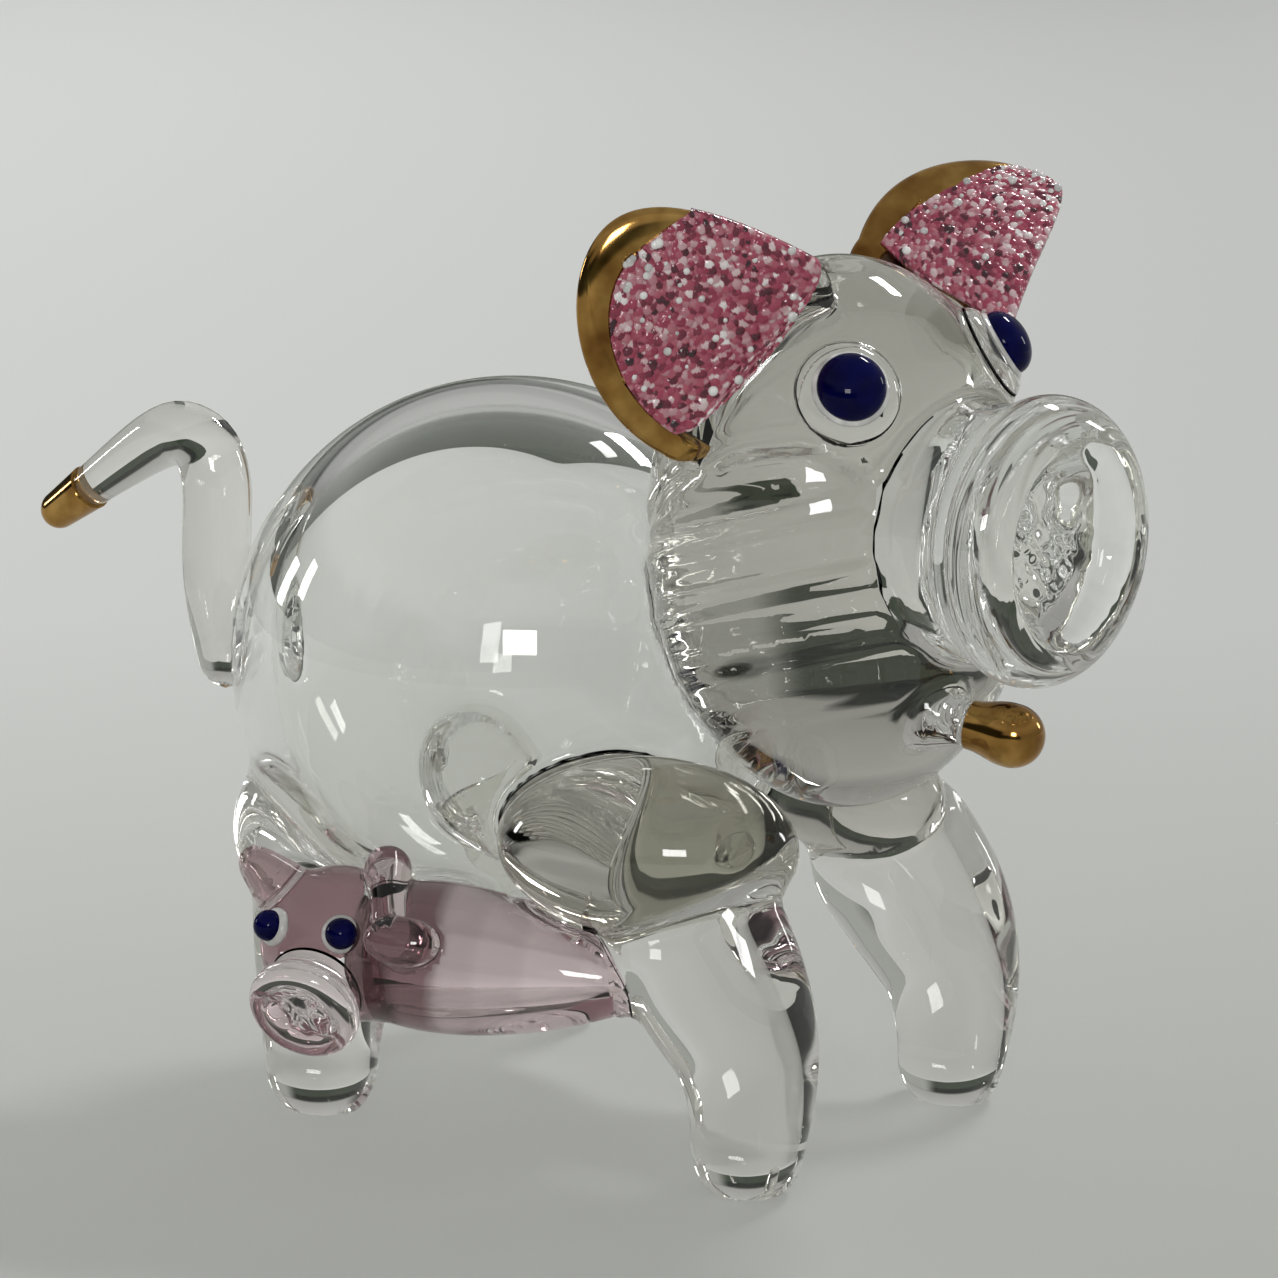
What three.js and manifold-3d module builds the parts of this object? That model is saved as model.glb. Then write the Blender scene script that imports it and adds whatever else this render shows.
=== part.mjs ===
// A lampworked glass sow with one small rose piglet, made of separate gathers of glass fused in the flame.
// Millimetres. +X is the way the sow faces, +Y is its left side, +Z is up, and its feet stand on z = 0.
import * as THREE from "three";
import { mergeVertices } from "three/addons/utils/BufferGeometryUtils.js";
import Module from "manifold-3d";

const wasm = await Module();
wasm.setup();

// Seams and skins.
const fuseGap = 0.3; // clearance along every fused seam
const skinGap = 0.15; // clearance under a gold or frit skin
const goldThickness = 0.25;
const fritThickness = 0.45;

// Body: a blown bubble, open only at the neck, where the head closes it.
const bodyLength = 26.4;
const bodyWidth = 25.2;
const bodyHeight = 25.4;
const bodyWall = 1.6;
const bellyClearance = 6.8; // ground to the underside of the bubble
const blowHoleWidth = 6.0;

// Head: one solid gather, turned a little to the sow's right and leaning over.
const headLength = 15.8;
const headWidth = 18.0;
const headHeight = 24.0;
const headSink = 3.4; // how deep the head overlaps the body's length
const headRaise = 7.5; // head centre above body centre
const headTurn = 6.0; // degrees to the right
const headLean = 4.5; // degrees, left side up

// Snout: a short muzzle with a thick pressed disc, dished, with two nostril pits.
const muzzleWidth = 11.0;
const muzzleReach = 1.0; // head front to the back of the disc
const muzzleSink = 4.0; // muzzle root behind the head's front
const snoutWidth = 12.2;
const snoutThickness = 3.6;
const snoutRim = 1.7; // radius of the disc's rounded edge
const snoutRaise = 0.9;
const dishDepth = 1.0;
const nostrilSpacing = 5.5;
const nostrilWidth = 1.7;
const nostrilHeight = 2.4;
const nostrilDepth = 1.4;

// Lower jaw: a drop of glass under the snout with a gilded tip.
const jawLength = 7.4;
const jawThickness = 2.4;
const jawTipThickness = 1.6;
const jawDroop = 0.9;
const jawOffset = -1.0; // sideways from the middle
const jawSink = 5.6; // jaw root behind the head's front
const jawClearance = 0.2; // snout disc to gilded jaw
const jawGoldLength = 2.4;

// Ears: thick cupped leaves, gilded behind and round the rim, with frit on the front.
const earReach = 8.0; // head to tip
const earThickness = 2.6;
const earCup = 1.2; // how far the long edges curl forward
const earRootDepth = 3.0; // leaf buried in the head
const earRootBack = 0.2;
const earRootInset = 2.8; // root in from the side of the head
const earRootDrop = 2.8; // root down from the top of the head
const goldRim = 0.7; // gold left along the long edges
const rightEarWidth = 10.4;
const rightEarRaise = 43.0; // degrees above level
const rightEarSweep = 20.0; // degrees backwards
const rightEarTwist = -11.0; // degrees, upper edge backwards
const rightEarBow = -0.4; // middle of the leaf towards its upper edge
const rightTipRim = 1.2; // gold left at the tip
const rightFritShift = 0.6; // frit towards the upper edge
const leftEarWidth = 8.8;
const leftEarRaise = 33.0;
const leftEarSweep = -8.0;
const leftEarTwist = 55.0;
const leftEarBow = 0.8;
const leftTipRim = 0.9;
const leftFritShift = -0.5;

// Eyes: a clear pad with a cobalt bead on it.
const eyePadWidth = 4.4;
const eyePadThickness = 1.6;
const eyeBeadWidth = 2.9;
const eyeBeadThickness = 1.9;
const eyeTurn = 46.0; // degrees from straight ahead
const eyeLift = 48.5; // degrees above level

// Tail: a bent rod on the rear of the bubble, with a gilded tip.
const tailThickness = 3.2;
const tailTipThickness = 1.5;
const tailOffset = -4.0; // sideways from the middle
const tailRootDrop = 2.5; // root below the body's centre height
const tailRise = 9.2; // crook above the body's centre height
const tailStandoff = 1.2; // rod behind the rear of the bubble
const tailBend = 1.9; // radius of the crook
const tailReach = 10.6; // crook to tip, backwards
const tailDroop = 4.8; // crook to tip, downwards
const tailGoldLength = 2.4;

// Legs: one gather each, from a broad haunch to a small flat foot. Ahead is from the front or the rear of the
// bubble, spread is sideways from the middle, and height is from the ground.
const legFlatten = 0.86; // sideways thickness as a share of the fore-and-aft one
const soleDepth = 0.55; // length ground off to make the flat sole
const frontHaunchLength = 13.2;
const frontHaunchThickness = 9.0;
const frontHaunchDepth = 7.6;
const frontHaunchSplay = 19.0; // degrees, rear end outwards
const frontHaunchAhead = 0.1;
const frontHaunchDrop = 5.3; // below the middle of the bubble
const frontKneeWidth = 8.5;
const frontKneeAhead = 3.6;
const frontKneeHeight = 9.3;
const frontShankWidth = 6.6;
const frontShankAhead = 5.3;
const frontShankHeight = 6.1;
const frontAnkleWidth = 5.2;
const frontAnkleAhead = 5.5;
const frontAnkleHeight = 2.8;
const frontFootWidth = 4.5;
const frontFootAhead = 4.9;
const rightFrontHaunchSpread = 8.2;
const rightFrontFootSpread = 8.3;
const leftFrontHaunchSpread = 6.6;
const leftFrontFootSpread = 7.9;
const hindHaunchLength = 9.0;
const hindHaunchThickness = 8.4;
const hindHaunchDepth = 9.0;
const hindHaunchAhead = 7.6;
const hindHaunchSpread = 6.6;
const hindHaunchDrop = 7.6;
const hindKneeWidth = 7.8;
const hindKneeAhead = 8.4;
const hindKneeHeight = 9.6;
const hindShankWidth = 7.0;
const hindShankAhead = 9.0;
const hindShankHeight = 7.0;
const hindAnkleWidth = 5.6;
const hindAnkleAhead = 9.6;
const hindAnkleHeight = 3.2;
const hindFootWidth = 4.8;
const hindFootAhead = 9.6;
const rightHindKneeSpread = 7.6;
const rightHindFootSpread = 9.8;
const leftHindKneeSpread = 6.8;
const leftHindFootSpread = 7.2;

// Piglet: rose glass, lying between the sow's right legs with its face turned out.
const pigletNeckThickness = 5.4;
const pigletBodyThickness = 6.6;
const pigletFlankThickness = 5.2;
const pigletRumpThickness = 1.8;
const pigletRumpSink = 1.2; // how deep the rump lies in the front leg
const pigletRumpHeight = 8.4;
const pigletHeadLength = 6.8;
const pigletHeadWidth = 7.2;
const pigletHeadHeight = 7.0;
const pigletHeadSink = 0.9; // how deep the head lies in the hind leg
const pigletHeadLevel = 8.6; // ground to the middle of the head
const pigletSet = 45.0; // degrees ahead of straight out, from hind leg to head
const pigletFaceTurn = 16.0; // degrees, towards the sow's head
const pigletFaceDip = 25.0; // degrees downwards
const pigletSnoutWidth = 5.0;
const pigletSnoutThickness = 1.5;
const pigletSnoutRim = 0.7;
const pigletSnoutReach = 0.2;
const pigletSnoutSink = 1.5;
const pigletMuzzleWidth = 4.0;
const pigletSnoutDish = 0.3;
const pigletEyePadWidth = 1.9;
const pigletEyePadThickness = 0.8;
const pigletEyeWidth = 1.5;
const pigletEyeThickness = 1.3;
const pigletEyeTurn = 38.0; // degrees from straight ahead
const pigletEyeLift = 42.0; // degrees above level

// Piglet's ears: turn and lift are as for its eyes, and rise is above the skin of its head.
const pigletPointThickness = 2.6;
const pigletPointTipThickness = 1.2;
const pigletPointSink = 1.2;
const pigletPointTurn = 98.0;
const pigletPointLift = 46.0;
const pigletPointRise = 2.4;
const pigletKnobThickness = 2.8;
const pigletKnobTurn = 90.0;
const pigletKnobLift = 52.0;
const pigletKnobRise = 1.0;
const pigletFoldThickness = 2.0;
const pigletFoldRise = 1.4;
const pigletLobeThickness = 3.2;
const pigletLobeTurn = 58.0;
const pigletLobeLift = 18.0;
const pigletLobeRise = 0.9;

const sides = { right: -1, left: 1 };
const weldTolerance = 1e-4;
const bodyCentreHeight = bellyClearance + bodyHeight / 2;
const vec = (x, y, z) => new THREE.Vector3(x, y, z);
const turn = (degrees) => THREE.MathUtils.degToRad(degrees);

function glass(colour, roughness = 0.05, metalness = 0) {
  return new THREE.MeshStandardMaterial({ color: colour, roughness, metalness });
}

const clearGlass = glass(0xd9dcd6);
const roseGlass = glass(0xb98d96);
const cobaltGlass = glass(0x060a48, 0.08);
const whiteGlass = glass(0xe6e2e0, 0.15);
const roseFrit = glass(0xb4586c, 0.4);
const goldLustre = glass(0xa8742c, 0.2, 1);

// A closed solid from a geometry, placed by a matrix, with its shared corners welded.
function solid(geometry, matrix = new THREE.Matrix4()) {
  const shape = geometry.clone().applyMatrix4(matrix);
  shape.deleteAttribute("normal");
  shape.deleteAttribute("uv");
  const welded = mergeVertices(shape, weldTolerance);
  const mirrored = matrix.determinant() < 0;
  const corners = [];
  for (let i = 0; i < welded.index.count; i += 3) {
    const [a, b, c] = welded.index.array.slice(i, i + 3);
    if (a !== b && b !== c && c !== a) {
      corners.push(a, mirrored ? c : b, mirrored ? b : c);
    }
  }
  const vertProperties = Float32Array.from(welded.attributes.position.array);
  const triVerts = Uint32Array.from(corners);
  return new wasm.Manifold(new wasm.Mesh({ numProp: 3, vertProperties, triVerts }));
}

// A named mesh of a finished solid.
function mesh(name, shape, material) {
  const { vertProperties, triVerts } = shape.getMesh();
  const geometry = new THREE.BufferGeometry();
  geometry.setAttribute("position", new THREE.BufferAttribute(vertProperties, 3));
  geometry.setIndex(new THREE.BufferAttribute(triVerts, 1));
  geometry.computeVertexNormals();
  const made = new THREE.Mesh(geometry, material);
  made.name = name;
  return made;
}

// An ellipsoid of three extents with its poles on Z, thickened all over by grow.
function ellipsoid(extents, grow = 0, around = 12, down = 8) {
  const ball = new THREE.SphereGeometry(1, around, down).rotateX(Math.PI / 2);
  return ball.scale(...extents.map((extent) => extent / 2 + grow));
}

// A round rod through stations of a place and a width, with rounded ends, starting at a share of its length.
// Grow thickens it all over, and flatten thins it sideways.
function rod(stations, { grow = 0, from = 0, sides = 12, rings = 14, flatten = 1 } = {}) {
  const spine = new THREE.CatmullRomCurve3(stations.map(([place]) => place));
  const taper = new THREE.SplineCurve(stations.map(([, width], i) => new THREE.Vector2(i, width / 2)));
  const length = spine.getLength();
  const profile = [];
  for (let i = 0; i <= rings; i += 1) {
    const t = from + ((1 - from) * (1 - Math.cos((Math.PI * i) / rings))) / 2;
    const radius = taper.getPoint(spine.getUtoTmapping(t)).y;
    const round = Math.min(1, (Math.min(t, 1 - t) * length) / radius);
    const closed = i === 0 || i === rings;
    const reach = closed ? 0 : radius * Math.sqrt(round * (2 - round)) + grow;
    profile.push(new THREE.Vector2(reach, t * length + grow * (2 * t - 1)));
  }
  return bend(new THREE.LatheGeometry(profile, sides), spine, flatten);
}

// Carries a shape turned about Y along a spine, Y being the distance along it.
function bend(lathe, spine, flatten) {
  const length = spine.getLength();
  const position = lathe.attributes.position;
  for (let i = 0; i < position.count; i += 1) {
    const along = position.getY(i);
    const inside = THREE.MathUtils.clamp(along / length, 0, 1);
    const tangent = spine.getTangentAt(inside);
    const side = vec(0, 1, 0).addScaledVector(tangent, -tangent.y).normalize();
    const front = new THREE.Vector3().crossVectors(tangent, side);
    const place = spine.getPointAt(inside).addScaledVector(tangent, along - inside * length);
    place.addScaledVector(front, position.getX(i)).addScaledVector(side, flatten * position.getZ(i));
    position.setXYZ(i, place.x, place.y, place.z);
  }
  return lathe;
}

// A frame on an ellipsoid's skin, some degrees round from straight ahead and up from level, Z pointing out.
function seat(extents, degreesTurn, degreesLift, side) {
  const level = Math.cos(turn(degreesLift));
  const across = side * level * Math.sin(turn(degreesTurn));
  const out = vec(level * Math.cos(turn(degreesTurn)), across, Math.sin(turn(degreesLift)));
  const half = vec(...extents).divideScalar(2);
  const place = out.clone().divideScalar(out.clone().divide(half).length());
  const normal = place.clone().divide(half).divide(half).normalize();
  const facing = new THREE.Quaternion().setFromUnitVectors(vec(0, 0, 1), normal);
  return new THREE.Matrix4().compose(place, facing, vec(1, 1, 1));
}

const sow = new THREE.Group();
const piglet = new THREE.Group();

// The body bubble: outer and inner walls, and the blow hole at the neck.
const bodyCentre = vec(0, 0, bodyCentreHeight);
const bodyPlace = new THREE.Matrix4().setPosition(bodyCentre);
const bodyOutside = (grow) => solid(ellipsoid([bodyLength, bodyWidth, bodyHeight], grow, 26, 16), bodyPlace);
const blowHole = new THREE.CylinderGeometry(blowHoleWidth / 2, blowHoleWidth / 2, bodyLength, 20);
blowHole.rotateZ(Math.PI / 2).translate(bodyLength / 2, 0, 0);
const bodyBubble = bodyOutside(0).subtract(bodyOutside(-bodyWall)).subtract(solid(blowHole, bodyPlace));
const clearOfBody = bodyOutside(fuseGap);
sow.add(mesh("body_bubble", bodyBubble, clearGlass));

// The head, and the frame that carries everything on it.
const headExtents = [headLength, headWidth, headHeight];
const headCentre = vec(bodyLength / 2 + headLength / 2 - headSink, 0, bodyCentreHeight + headRaise);
const headAngles = new THREE.Euler(turn(headLean), 0, turn(-headTurn), "ZYX");
const headPlace = new THREE.Matrix4().makeRotationFromEuler(headAngles).setPosition(headCentre);
const headOutside = (grow) => solid(ellipsoid(headExtents, grow, 22, 14), headPlace);
const clearOfHead = headOutside(fuseGap);
sow.add(mesh("head", headOutside(0).subtract(clearOfBody), clearGlass));

// A snout turned about its axis: a muzzle, a disc with a rounded edge, and a dished face.
function snoutShape({ width, thickness, rim, muzzle, root, dish }) {
  const edge = width / 2 - rim;
  const edgeSteps = 6;
  const dishSteps = 3;
  const profile = [new THREE.Vector2(0, -root), new THREE.Vector2(muzzle / 2, -root)];
  for (let i = 0; i <= edgeSteps; i += 1) {
    const angle = Math.PI * (i / edgeSteps - 0.5);
    profile.push(new THREE.Vector2(edge + rim * Math.cos(angle), (thickness / 2) * (1 + Math.sin(angle))));
  }
  for (let i = 1; i <= dishSteps; i += 1) {
    const inward = i / dishSteps;
    const depth = dish * inward * (2 - inward);
    profile.push(new THREE.Vector2(i === dishSteps ? 0 : edge * (1 - inward), thickness - depth));
  }
  return new THREE.LatheGeometry(profile, 20).rotateZ(-Math.PI / 2);
}

const snoutSeat = new THREE.Matrix4().setPosition(headLength / 2 + muzzleReach, 0, snoutRaise);
const snoutPlace = headPlace.clone().multiply(snoutSeat);

function nostril(side) {
  const pit = ellipsoid([2 * nostrilDepth, nostrilWidth, nostrilHeight], 0, 10, 8);
  return solid(pit.translate(snoutThickness - dishDepth / 2, (side * nostrilSpacing) / 2, 0), snoutPlace);
}

const snoutGather = snoutShape({
  width: snoutWidth,
  thickness: snoutThickness,
  rim: snoutRim,
  muzzle: muzzleWidth,
  root: muzzleReach + muzzleSink,
  dish: dishDepth,
});
const snout = solid(snoutGather, snoutPlace).subtract(clearOfHead);
sow.add(mesh("snout", snout.subtract(nostril(sides.right)).subtract(nostril(sides.left)), clearGlass));

// The lower jaw and its gilded tip, hanging clear of the snout.
const jawDrop = snoutWidth / 2 + jawClearance + goldThickness + skinGap + jawThickness / 2;
const jawSteps = 3;
const jawStations = [];
for (let i = 0; i <= jawSteps; i += 1) {
  const t = i / jawSteps;
  const ahead = headLength / 2 - jawSink + t * jawLength;
  const place = vec(ahead, jawOffset, snoutRaise - jawDrop - jawDroop * t * t);
  jawStations.push([place, i < jawSteps ? jawThickness : jawTipThickness]);
}

function jawShape(grow, from) {
  return solid(rod(jawStations, { grow, from, sides: 10, rings: 10 }), headPlace);
}

// A gold skin over the end of a rod: the grown end less a slightly grown rod.
function goldEnd(shapeAt, from) {
  return shapeAt(skinGap + goldThickness, from).subtract(shapeAt(skinGap, 0));
}

sow.add(mesh("lower_jaw", jawShape(0, 0).subtract(clearOfHead), clearGlass));
const jawGold = goldEnd(jawShape, 1 - jawGoldLength / jawLength);
sow.add(mesh("lower_jaw_gold_tip", jawGold.subtract(clearOfHead), goldLustre));

// An eye: a pad on the skin of a head and a bead on the pad.
function eyeShapes(place, padExtents, beadExtents) {
  const padThickness = padExtents[2];
  const padAt = (grow) => solid(ellipsoid(padExtents, grow), place);
  const beadAt = (grow) => solid(ellipsoid(beadExtents, grow).translate(0, 0, padThickness / 2), place);
  return {
    pad: padAt(0),
    bead: beadAt(0).subtract(padAt(fuseGap)),
    clearOf: padAt(fuseGap).add(beadAt(fuseGap)),
  };
}

// An ear's outline: X runs from the widest place to the tip and Y to the upper edge, with the middle bowed.
function earOutline(a, b, tip, edge, bow) {
  const ahead = Math.max(a, 0);
  return [a * (a > 0 ? tip : earRootDepth), b * edge + 4 * bow * ahead * (1 - ahead)];
}

// An ear's leaf, cupped towards its front, which is Z.
function leaf(width, bow, grow) {
  const ball = new THREE.SphereGeometry(1, 16, 10).rotateX(Math.PI / 2);
  const position = ball.attributes.position;
  for (let i = 0; i < position.count; i += 1) {
    const [a, b, c] = [position.getX(i), position.getY(i), position.getZ(i)];
    const [x, y] = earOutline(a, b, earReach + grow, width / 2 + grow, bow);
    position.setXYZ(i, x, y, c * (earThickness / 2 + grow) + earCup * b * b);
  }
  return ball;
}

// A post with the outline of an ear's frit, from the middle of the cupped leaf out through its front.
function fritPost(width, bow, tipRim, shift, grow) {
  const post = new THREE.CylinderGeometry(1, 1, 1, 24).rotateX(Math.PI / 2);
  const position = post.attributes.position;
  const tip = earReach - tipRim + grow;
  const edge = width / 2 - goldRim + grow;
  for (let i = 0; i < position.count; i += 1) {
    const [a, b, c] = [position.getX(i), position.getY(i), position.getZ(i)];
    const [x, y] = earOutline(a, b, tip, edge, bow);
    position.setXYZ(i, x, y + shift, c > 0 ? width : earCup * b * b);
  }
  return post;
}

function earPlace(side, raise, sweep, twist) {
  const root = vec(-earRootBack, headWidth / 2 - earRootInset, headHeight / 2 - earRootDrop);
  const place = new THREE.Matrix4().setPosition(root);
  place.multiply(new THREE.Matrix4().makeRotationZ(turn(90 + sweep)));
  place.multiply(new THREE.Matrix4().makeRotationY(turn(-raise)));
  place.multiply(new THREE.Matrix4().makeRotationX(turn(90 - twist)));
  return headPlace.clone().multiply(new THREE.Matrix4().makeScale(1, side, 1)).multiply(place);
}

const ears = [
  {
    name: "right",
    side: sides.right,
    place: earPlace(sides.right, rightEarRaise, rightEarSweep, rightEarTwist),
    width: rightEarWidth,
    bow: rightEarBow,
    tipRim: rightTipRim,
    shift: rightFritShift,
  },
  {
    name: "left",
    side: sides.left,
    place: earPlace(sides.left, leftEarRaise, leftEarSweep, leftEarTwist),
    width: leftEarWidth,
    bow: leftEarBow,
    tipRim: leftTipRim,
    shift: leftFritShift,
  },
];
for (const { name, side, place, width, bow, tipRim, shift } of ears) {
  const eyePlace = headPlace.clone().multiply(seat(headExtents, eyeTurn, eyeLift, side));
  const padExtents = [eyePadWidth, eyePadWidth, eyePadThickness];
  const eye = eyeShapes(eyePlace, padExtents, [eyeBeadWidth, eyeBeadWidth, eyeBeadThickness]);
  sow.add(mesh(`${name}_eye_pad`, eye.pad.subtract(clearOfHead), clearGlass));
  sow.add(mesh(`${name}_eye_bead`, eye.bead.subtract(clearOfHead), cobaltGlass));

  const earAt = (grow) => solid(leaf(width, bow, grow), place);
  const fritAt = (grow) => solid(fritPost(width, bow, tipRim, shift, grow), place);
  const gold = earAt(skinGap + goldThickness).subtract(earAt(skinGap)).subtract(fritAt(0));
  const frit = earAt(skinGap + fritThickness).subtract(earAt(skinGap)).intersect(fritAt(-fuseGap));
  const around = clearOfHead.add(eye.clearOf);
  sow.add(mesh(`${name}_ear`, earAt(0).subtract(around), clearGlass));
  sow.add(mesh(`${name}_ear_gold`, gold.subtract(around), goldLustre));
  sow.add(mesh(`${name}_ear_frit`, frit.subtract(around), roseFrit));
}

// The tail: up the rear of the bubble, round the crook and back down to a gilded tip.
const tailLine = -bodyLength / 2 - tailStandoff;
const crookTop = bodyCentreHeight + tailRise;
const crookTurn = Math.PI / 2 + Math.atan2(tailDroop, tailReach);
const crookSteps = 3;
const tailStations = [
  [vec(tailLine + tailStandoff, tailOffset, bodyCentreHeight - tailRootDrop), tailThickness],
  [vec(tailLine, tailOffset, bodyCentreHeight + tailRootDrop), tailThickness],
];
for (let i = 0; i <= crookSteps; i += 1) {
  const angle = (crookTurn * i) / crookSteps;
  const across = tailLine - tailBend * (1 - Math.cos(angle));
  const up = crookTop - tailBend * (1 - Math.sin(angle));
  tailStations.push([vec(across, tailOffset, up), tailThickness]);
}
tailStations.push([vec(tailLine - tailReach, tailOffset, crookTop - tailDroop), tailTipThickness]);
const tailLength = new THREE.CatmullRomCurve3(tailStations.map(([place]) => place)).getLength();

function tailShape(grow, from) {
  return solid(rod(tailStations, { grow, from, sides: 10, rings: from ? 6 : 28 }));
}

sow.add(mesh("tail", tailShape(0, 0).subtract(clearOfBody), clearGlass));
sow.add(mesh("tail_gold_tip", goldEnd(tailShape, 1 - tailGoldLength / tailLength), goldLustre));

// A leg is a haunch with a rod from its middle to below the ground, where the sole is ground flat.
const frontLine = bodyLength / 2;
const hindLine = -bodyLength / 2;

function frontLeg(side, haunchSpread, footSpread) {
  const haunchHeight = bodyCentreHeight - frontHaunchDrop;
  const haunch = vec(frontLine + frontHaunchAhead, side * haunchSpread, haunchHeight);
  return {
    haunch,
    extents: [frontHaunchLength, frontHaunchThickness, frontHaunchDepth],
    splay: -side * frontHaunchSplay,
    stations: [
      [haunch, frontKneeWidth],
      [vec(frontLine + frontKneeAhead, side * footSpread, frontKneeHeight), frontKneeWidth],
      [vec(frontLine + frontShankAhead, side * footSpread, frontShankHeight), frontShankWidth],
      [vec(frontLine + frontAnkleAhead, side * footSpread, frontAnkleHeight), frontAnkleWidth],
      [vec(frontLine + frontFootAhead, side * footSpread, -soleDepth), frontFootWidth],
    ],
  };
}

function hindLeg(side, kneeSpread, footSpread) {
  const shankSpread = (kneeSpread + footSpread) / 2;
  const haunchHeight = bodyCentreHeight - hindHaunchDrop;
  const haunch = vec(hindLine + hindHaunchAhead, side * hindHaunchSpread, haunchHeight);
  return {
    haunch,
    extents: [hindHaunchLength, hindHaunchThickness, hindHaunchDepth],
    stations: [
      [haunch, hindKneeWidth],
      [vec(hindLine + hindKneeAhead, side * kneeSpread, hindKneeHeight), hindKneeWidth],
      [vec(hindLine + hindShankAhead, side * shankSpread, hindShankHeight), hindShankWidth],
      [vec(hindLine + hindAnkleAhead, side * footSpread, hindAnkleHeight), hindAnkleWidth],
      [vec(hindLine + hindFootAhead, side * footSpread, -soleDepth), hindFootWidth],
    ],
  };
}

function legShape({ haunch, extents, splay = 0, stations }, grow) {
  const ham = new THREE.Matrix4().makeRotationZ(turn(splay)).setPosition(haunch);
  const shank = solid(rod(stations, { grow, flatten: legFlatten }));
  return solid(ellipsoid(extents, grow, 16, 10), ham).add(shank);
}

const legs = {
  right_front_leg: frontLeg(sides.right, rightFrontHaunchSpread, rightFrontFootSpread),
  right_hind_leg: hindLeg(sides.right, rightHindKneeSpread, rightHindFootSpread),
  left_front_leg: frontLeg(sides.left, leftFrontHaunchSpread, leftFrontFootSpread),
  left_hind_leg: hindLeg(sides.left, leftHindKneeSpread, leftHindFootSpread),
};
const ground = new THREE.BoxGeometry(4 * bodyLength, 4 * bodyWidth, bodyHeight);
ground.translate(0, 0, -bodyHeight / 2);
const clearOfSow = clearOfBody.add(clearOfHead).add(solid(ground));
for (const [name, leg] of Object.entries(legs)) {
  sow.add(mesh(name, legShape(leg, 0).subtract(clearOfSow), clearGlass));
}

// The piglet's head lies on the sow's right hind leg and its rump on the right front leg.
function atHeight({ stations }, height) {
  const spots = new THREE.CatmullRomCurve3(stations.map(([place]) => place)).getPoints(200);
  return spots.reduce((best, spot) => (Math.abs(spot.z - height) < Math.abs(best.z - height) ? spot : best));
}

const outward = vec(Math.sin(turn(pigletSet)), -Math.cos(turn(pigletSet)), 0);
const pigletReach = hindShankWidth / 2 + pigletHeadLength / 2 - pigletHeadSink;
const pigletCentre = atHeight(legs.right_hind_leg, pigletHeadLevel).addScaledVector(outward, pigletReach);
pigletCentre.z = pigletHeadLevel;
const pigletRump = atHeight(legs.right_front_leg, pigletRumpHeight).setZ(pigletRumpHeight);
const backToHead = pigletCentre.clone().sub(pigletRump).setZ(0).normalize();
pigletRump.addScaledVector(backToHead, frontKneeWidth / 2 - pigletRumpSink);

const pigletAngles = new THREE.Euler(0, turn(pigletFaceDip), turn(pigletFaceTurn - 90), "ZYX");
const pigletPlace = new THREE.Matrix4().makeRotationFromEuler(pigletAngles).setPosition(pigletCentre);
const pigletHeadExtents = [pigletHeadLength, pigletHeadWidth, pigletHeadHeight];
const pigletHeadOutside = (grow) => solid(ellipsoid(pigletHeadExtents, grow, 16, 10), pigletPlace);
const pigletWidths = [pigletNeckThickness, pigletBodyThickness, pigletFlankThickness, pigletRumpThickness];
const pigletStations = pigletWidths.map((width, i) => {
  const share = i / (pigletWidths.length - 1);
  return [pigletCentre.clone().lerp(pigletRump, share), width];
});
const pigletBodyOutside = (grow) => solid(rod(pigletStations, { grow, sides: 14 }));
const rightLegs = legShape(legs.right_front_leg, fuseGap).add(legShape(legs.right_hind_leg, fuseGap));
const clearOfRightSide = clearOfSow.add(rightLegs);
const clearOfPigletHead = pigletHeadOutside(fuseGap);
const aroundPiglet = clearOfRightSide.add(clearOfPigletHead);
piglet.add(mesh("piglet_head", pigletHeadOutside(0).subtract(clearOfRightSide), roseGlass));
piglet.add(mesh("piglet_body", pigletBodyOutside(0).subtract(aroundPiglet), roseGlass));

const pigletSnoutGather = snoutShape({
  width: pigletSnoutWidth,
  thickness: pigletSnoutThickness,
  rim: pigletSnoutRim,
  muzzle: pigletMuzzleWidth,
  root: pigletSnoutReach + pigletSnoutSink,
  dish: pigletSnoutDish,
});
const pigletSnoutSeat = new THREE.Matrix4().setPosition(pigletHeadLength / 2 + pigletSnoutReach, 0, 0);
const pigletSnout = solid(pigletSnoutGather, pigletPlace.clone().multiply(pigletSnoutSeat));
piglet.add(mesh("piglet_snout", pigletSnout.subtract(aroundPiglet), roseGlass));

// The piglet's eyes, and its ears: the right one stands to a point, the left one folds from a knob to a lobe.
const aroundEyes = aroundPiglet.add(pigletBodyOutside(fuseGap));
let aroundEars = aroundEyes;
for (const [name, side] of Object.entries(sides)) {
  const eyePlace = pigletPlace.clone().multiply(seat(pigletHeadExtents, pigletEyeTurn, pigletEyeLift, side));
  const padExtents = [pigletEyePadWidth, pigletEyePadWidth, pigletEyePadThickness];
  const eye = eyeShapes(eyePlace, padExtents, [pigletEyeWidth, pigletEyeWidth, pigletEyeThickness]);
  piglet.add(mesh(`piglet_${name}_eye_pad`, eye.pad.subtract(aroundEyes), whiteGlass));
  piglet.add(mesh(`piglet_${name}_eye_bead`, eye.bead.subtract(aroundEyes), cobaltGlass));
  aroundEars = aroundEars.add(eye.clearOf);
}

function onPiglet(side, degreesTurn, degreesLift, rise) {
  return vec(0, 0, rise).applyMatrix4(seat(pigletHeadExtents, degreesTurn, degreesLift, side));
}

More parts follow.
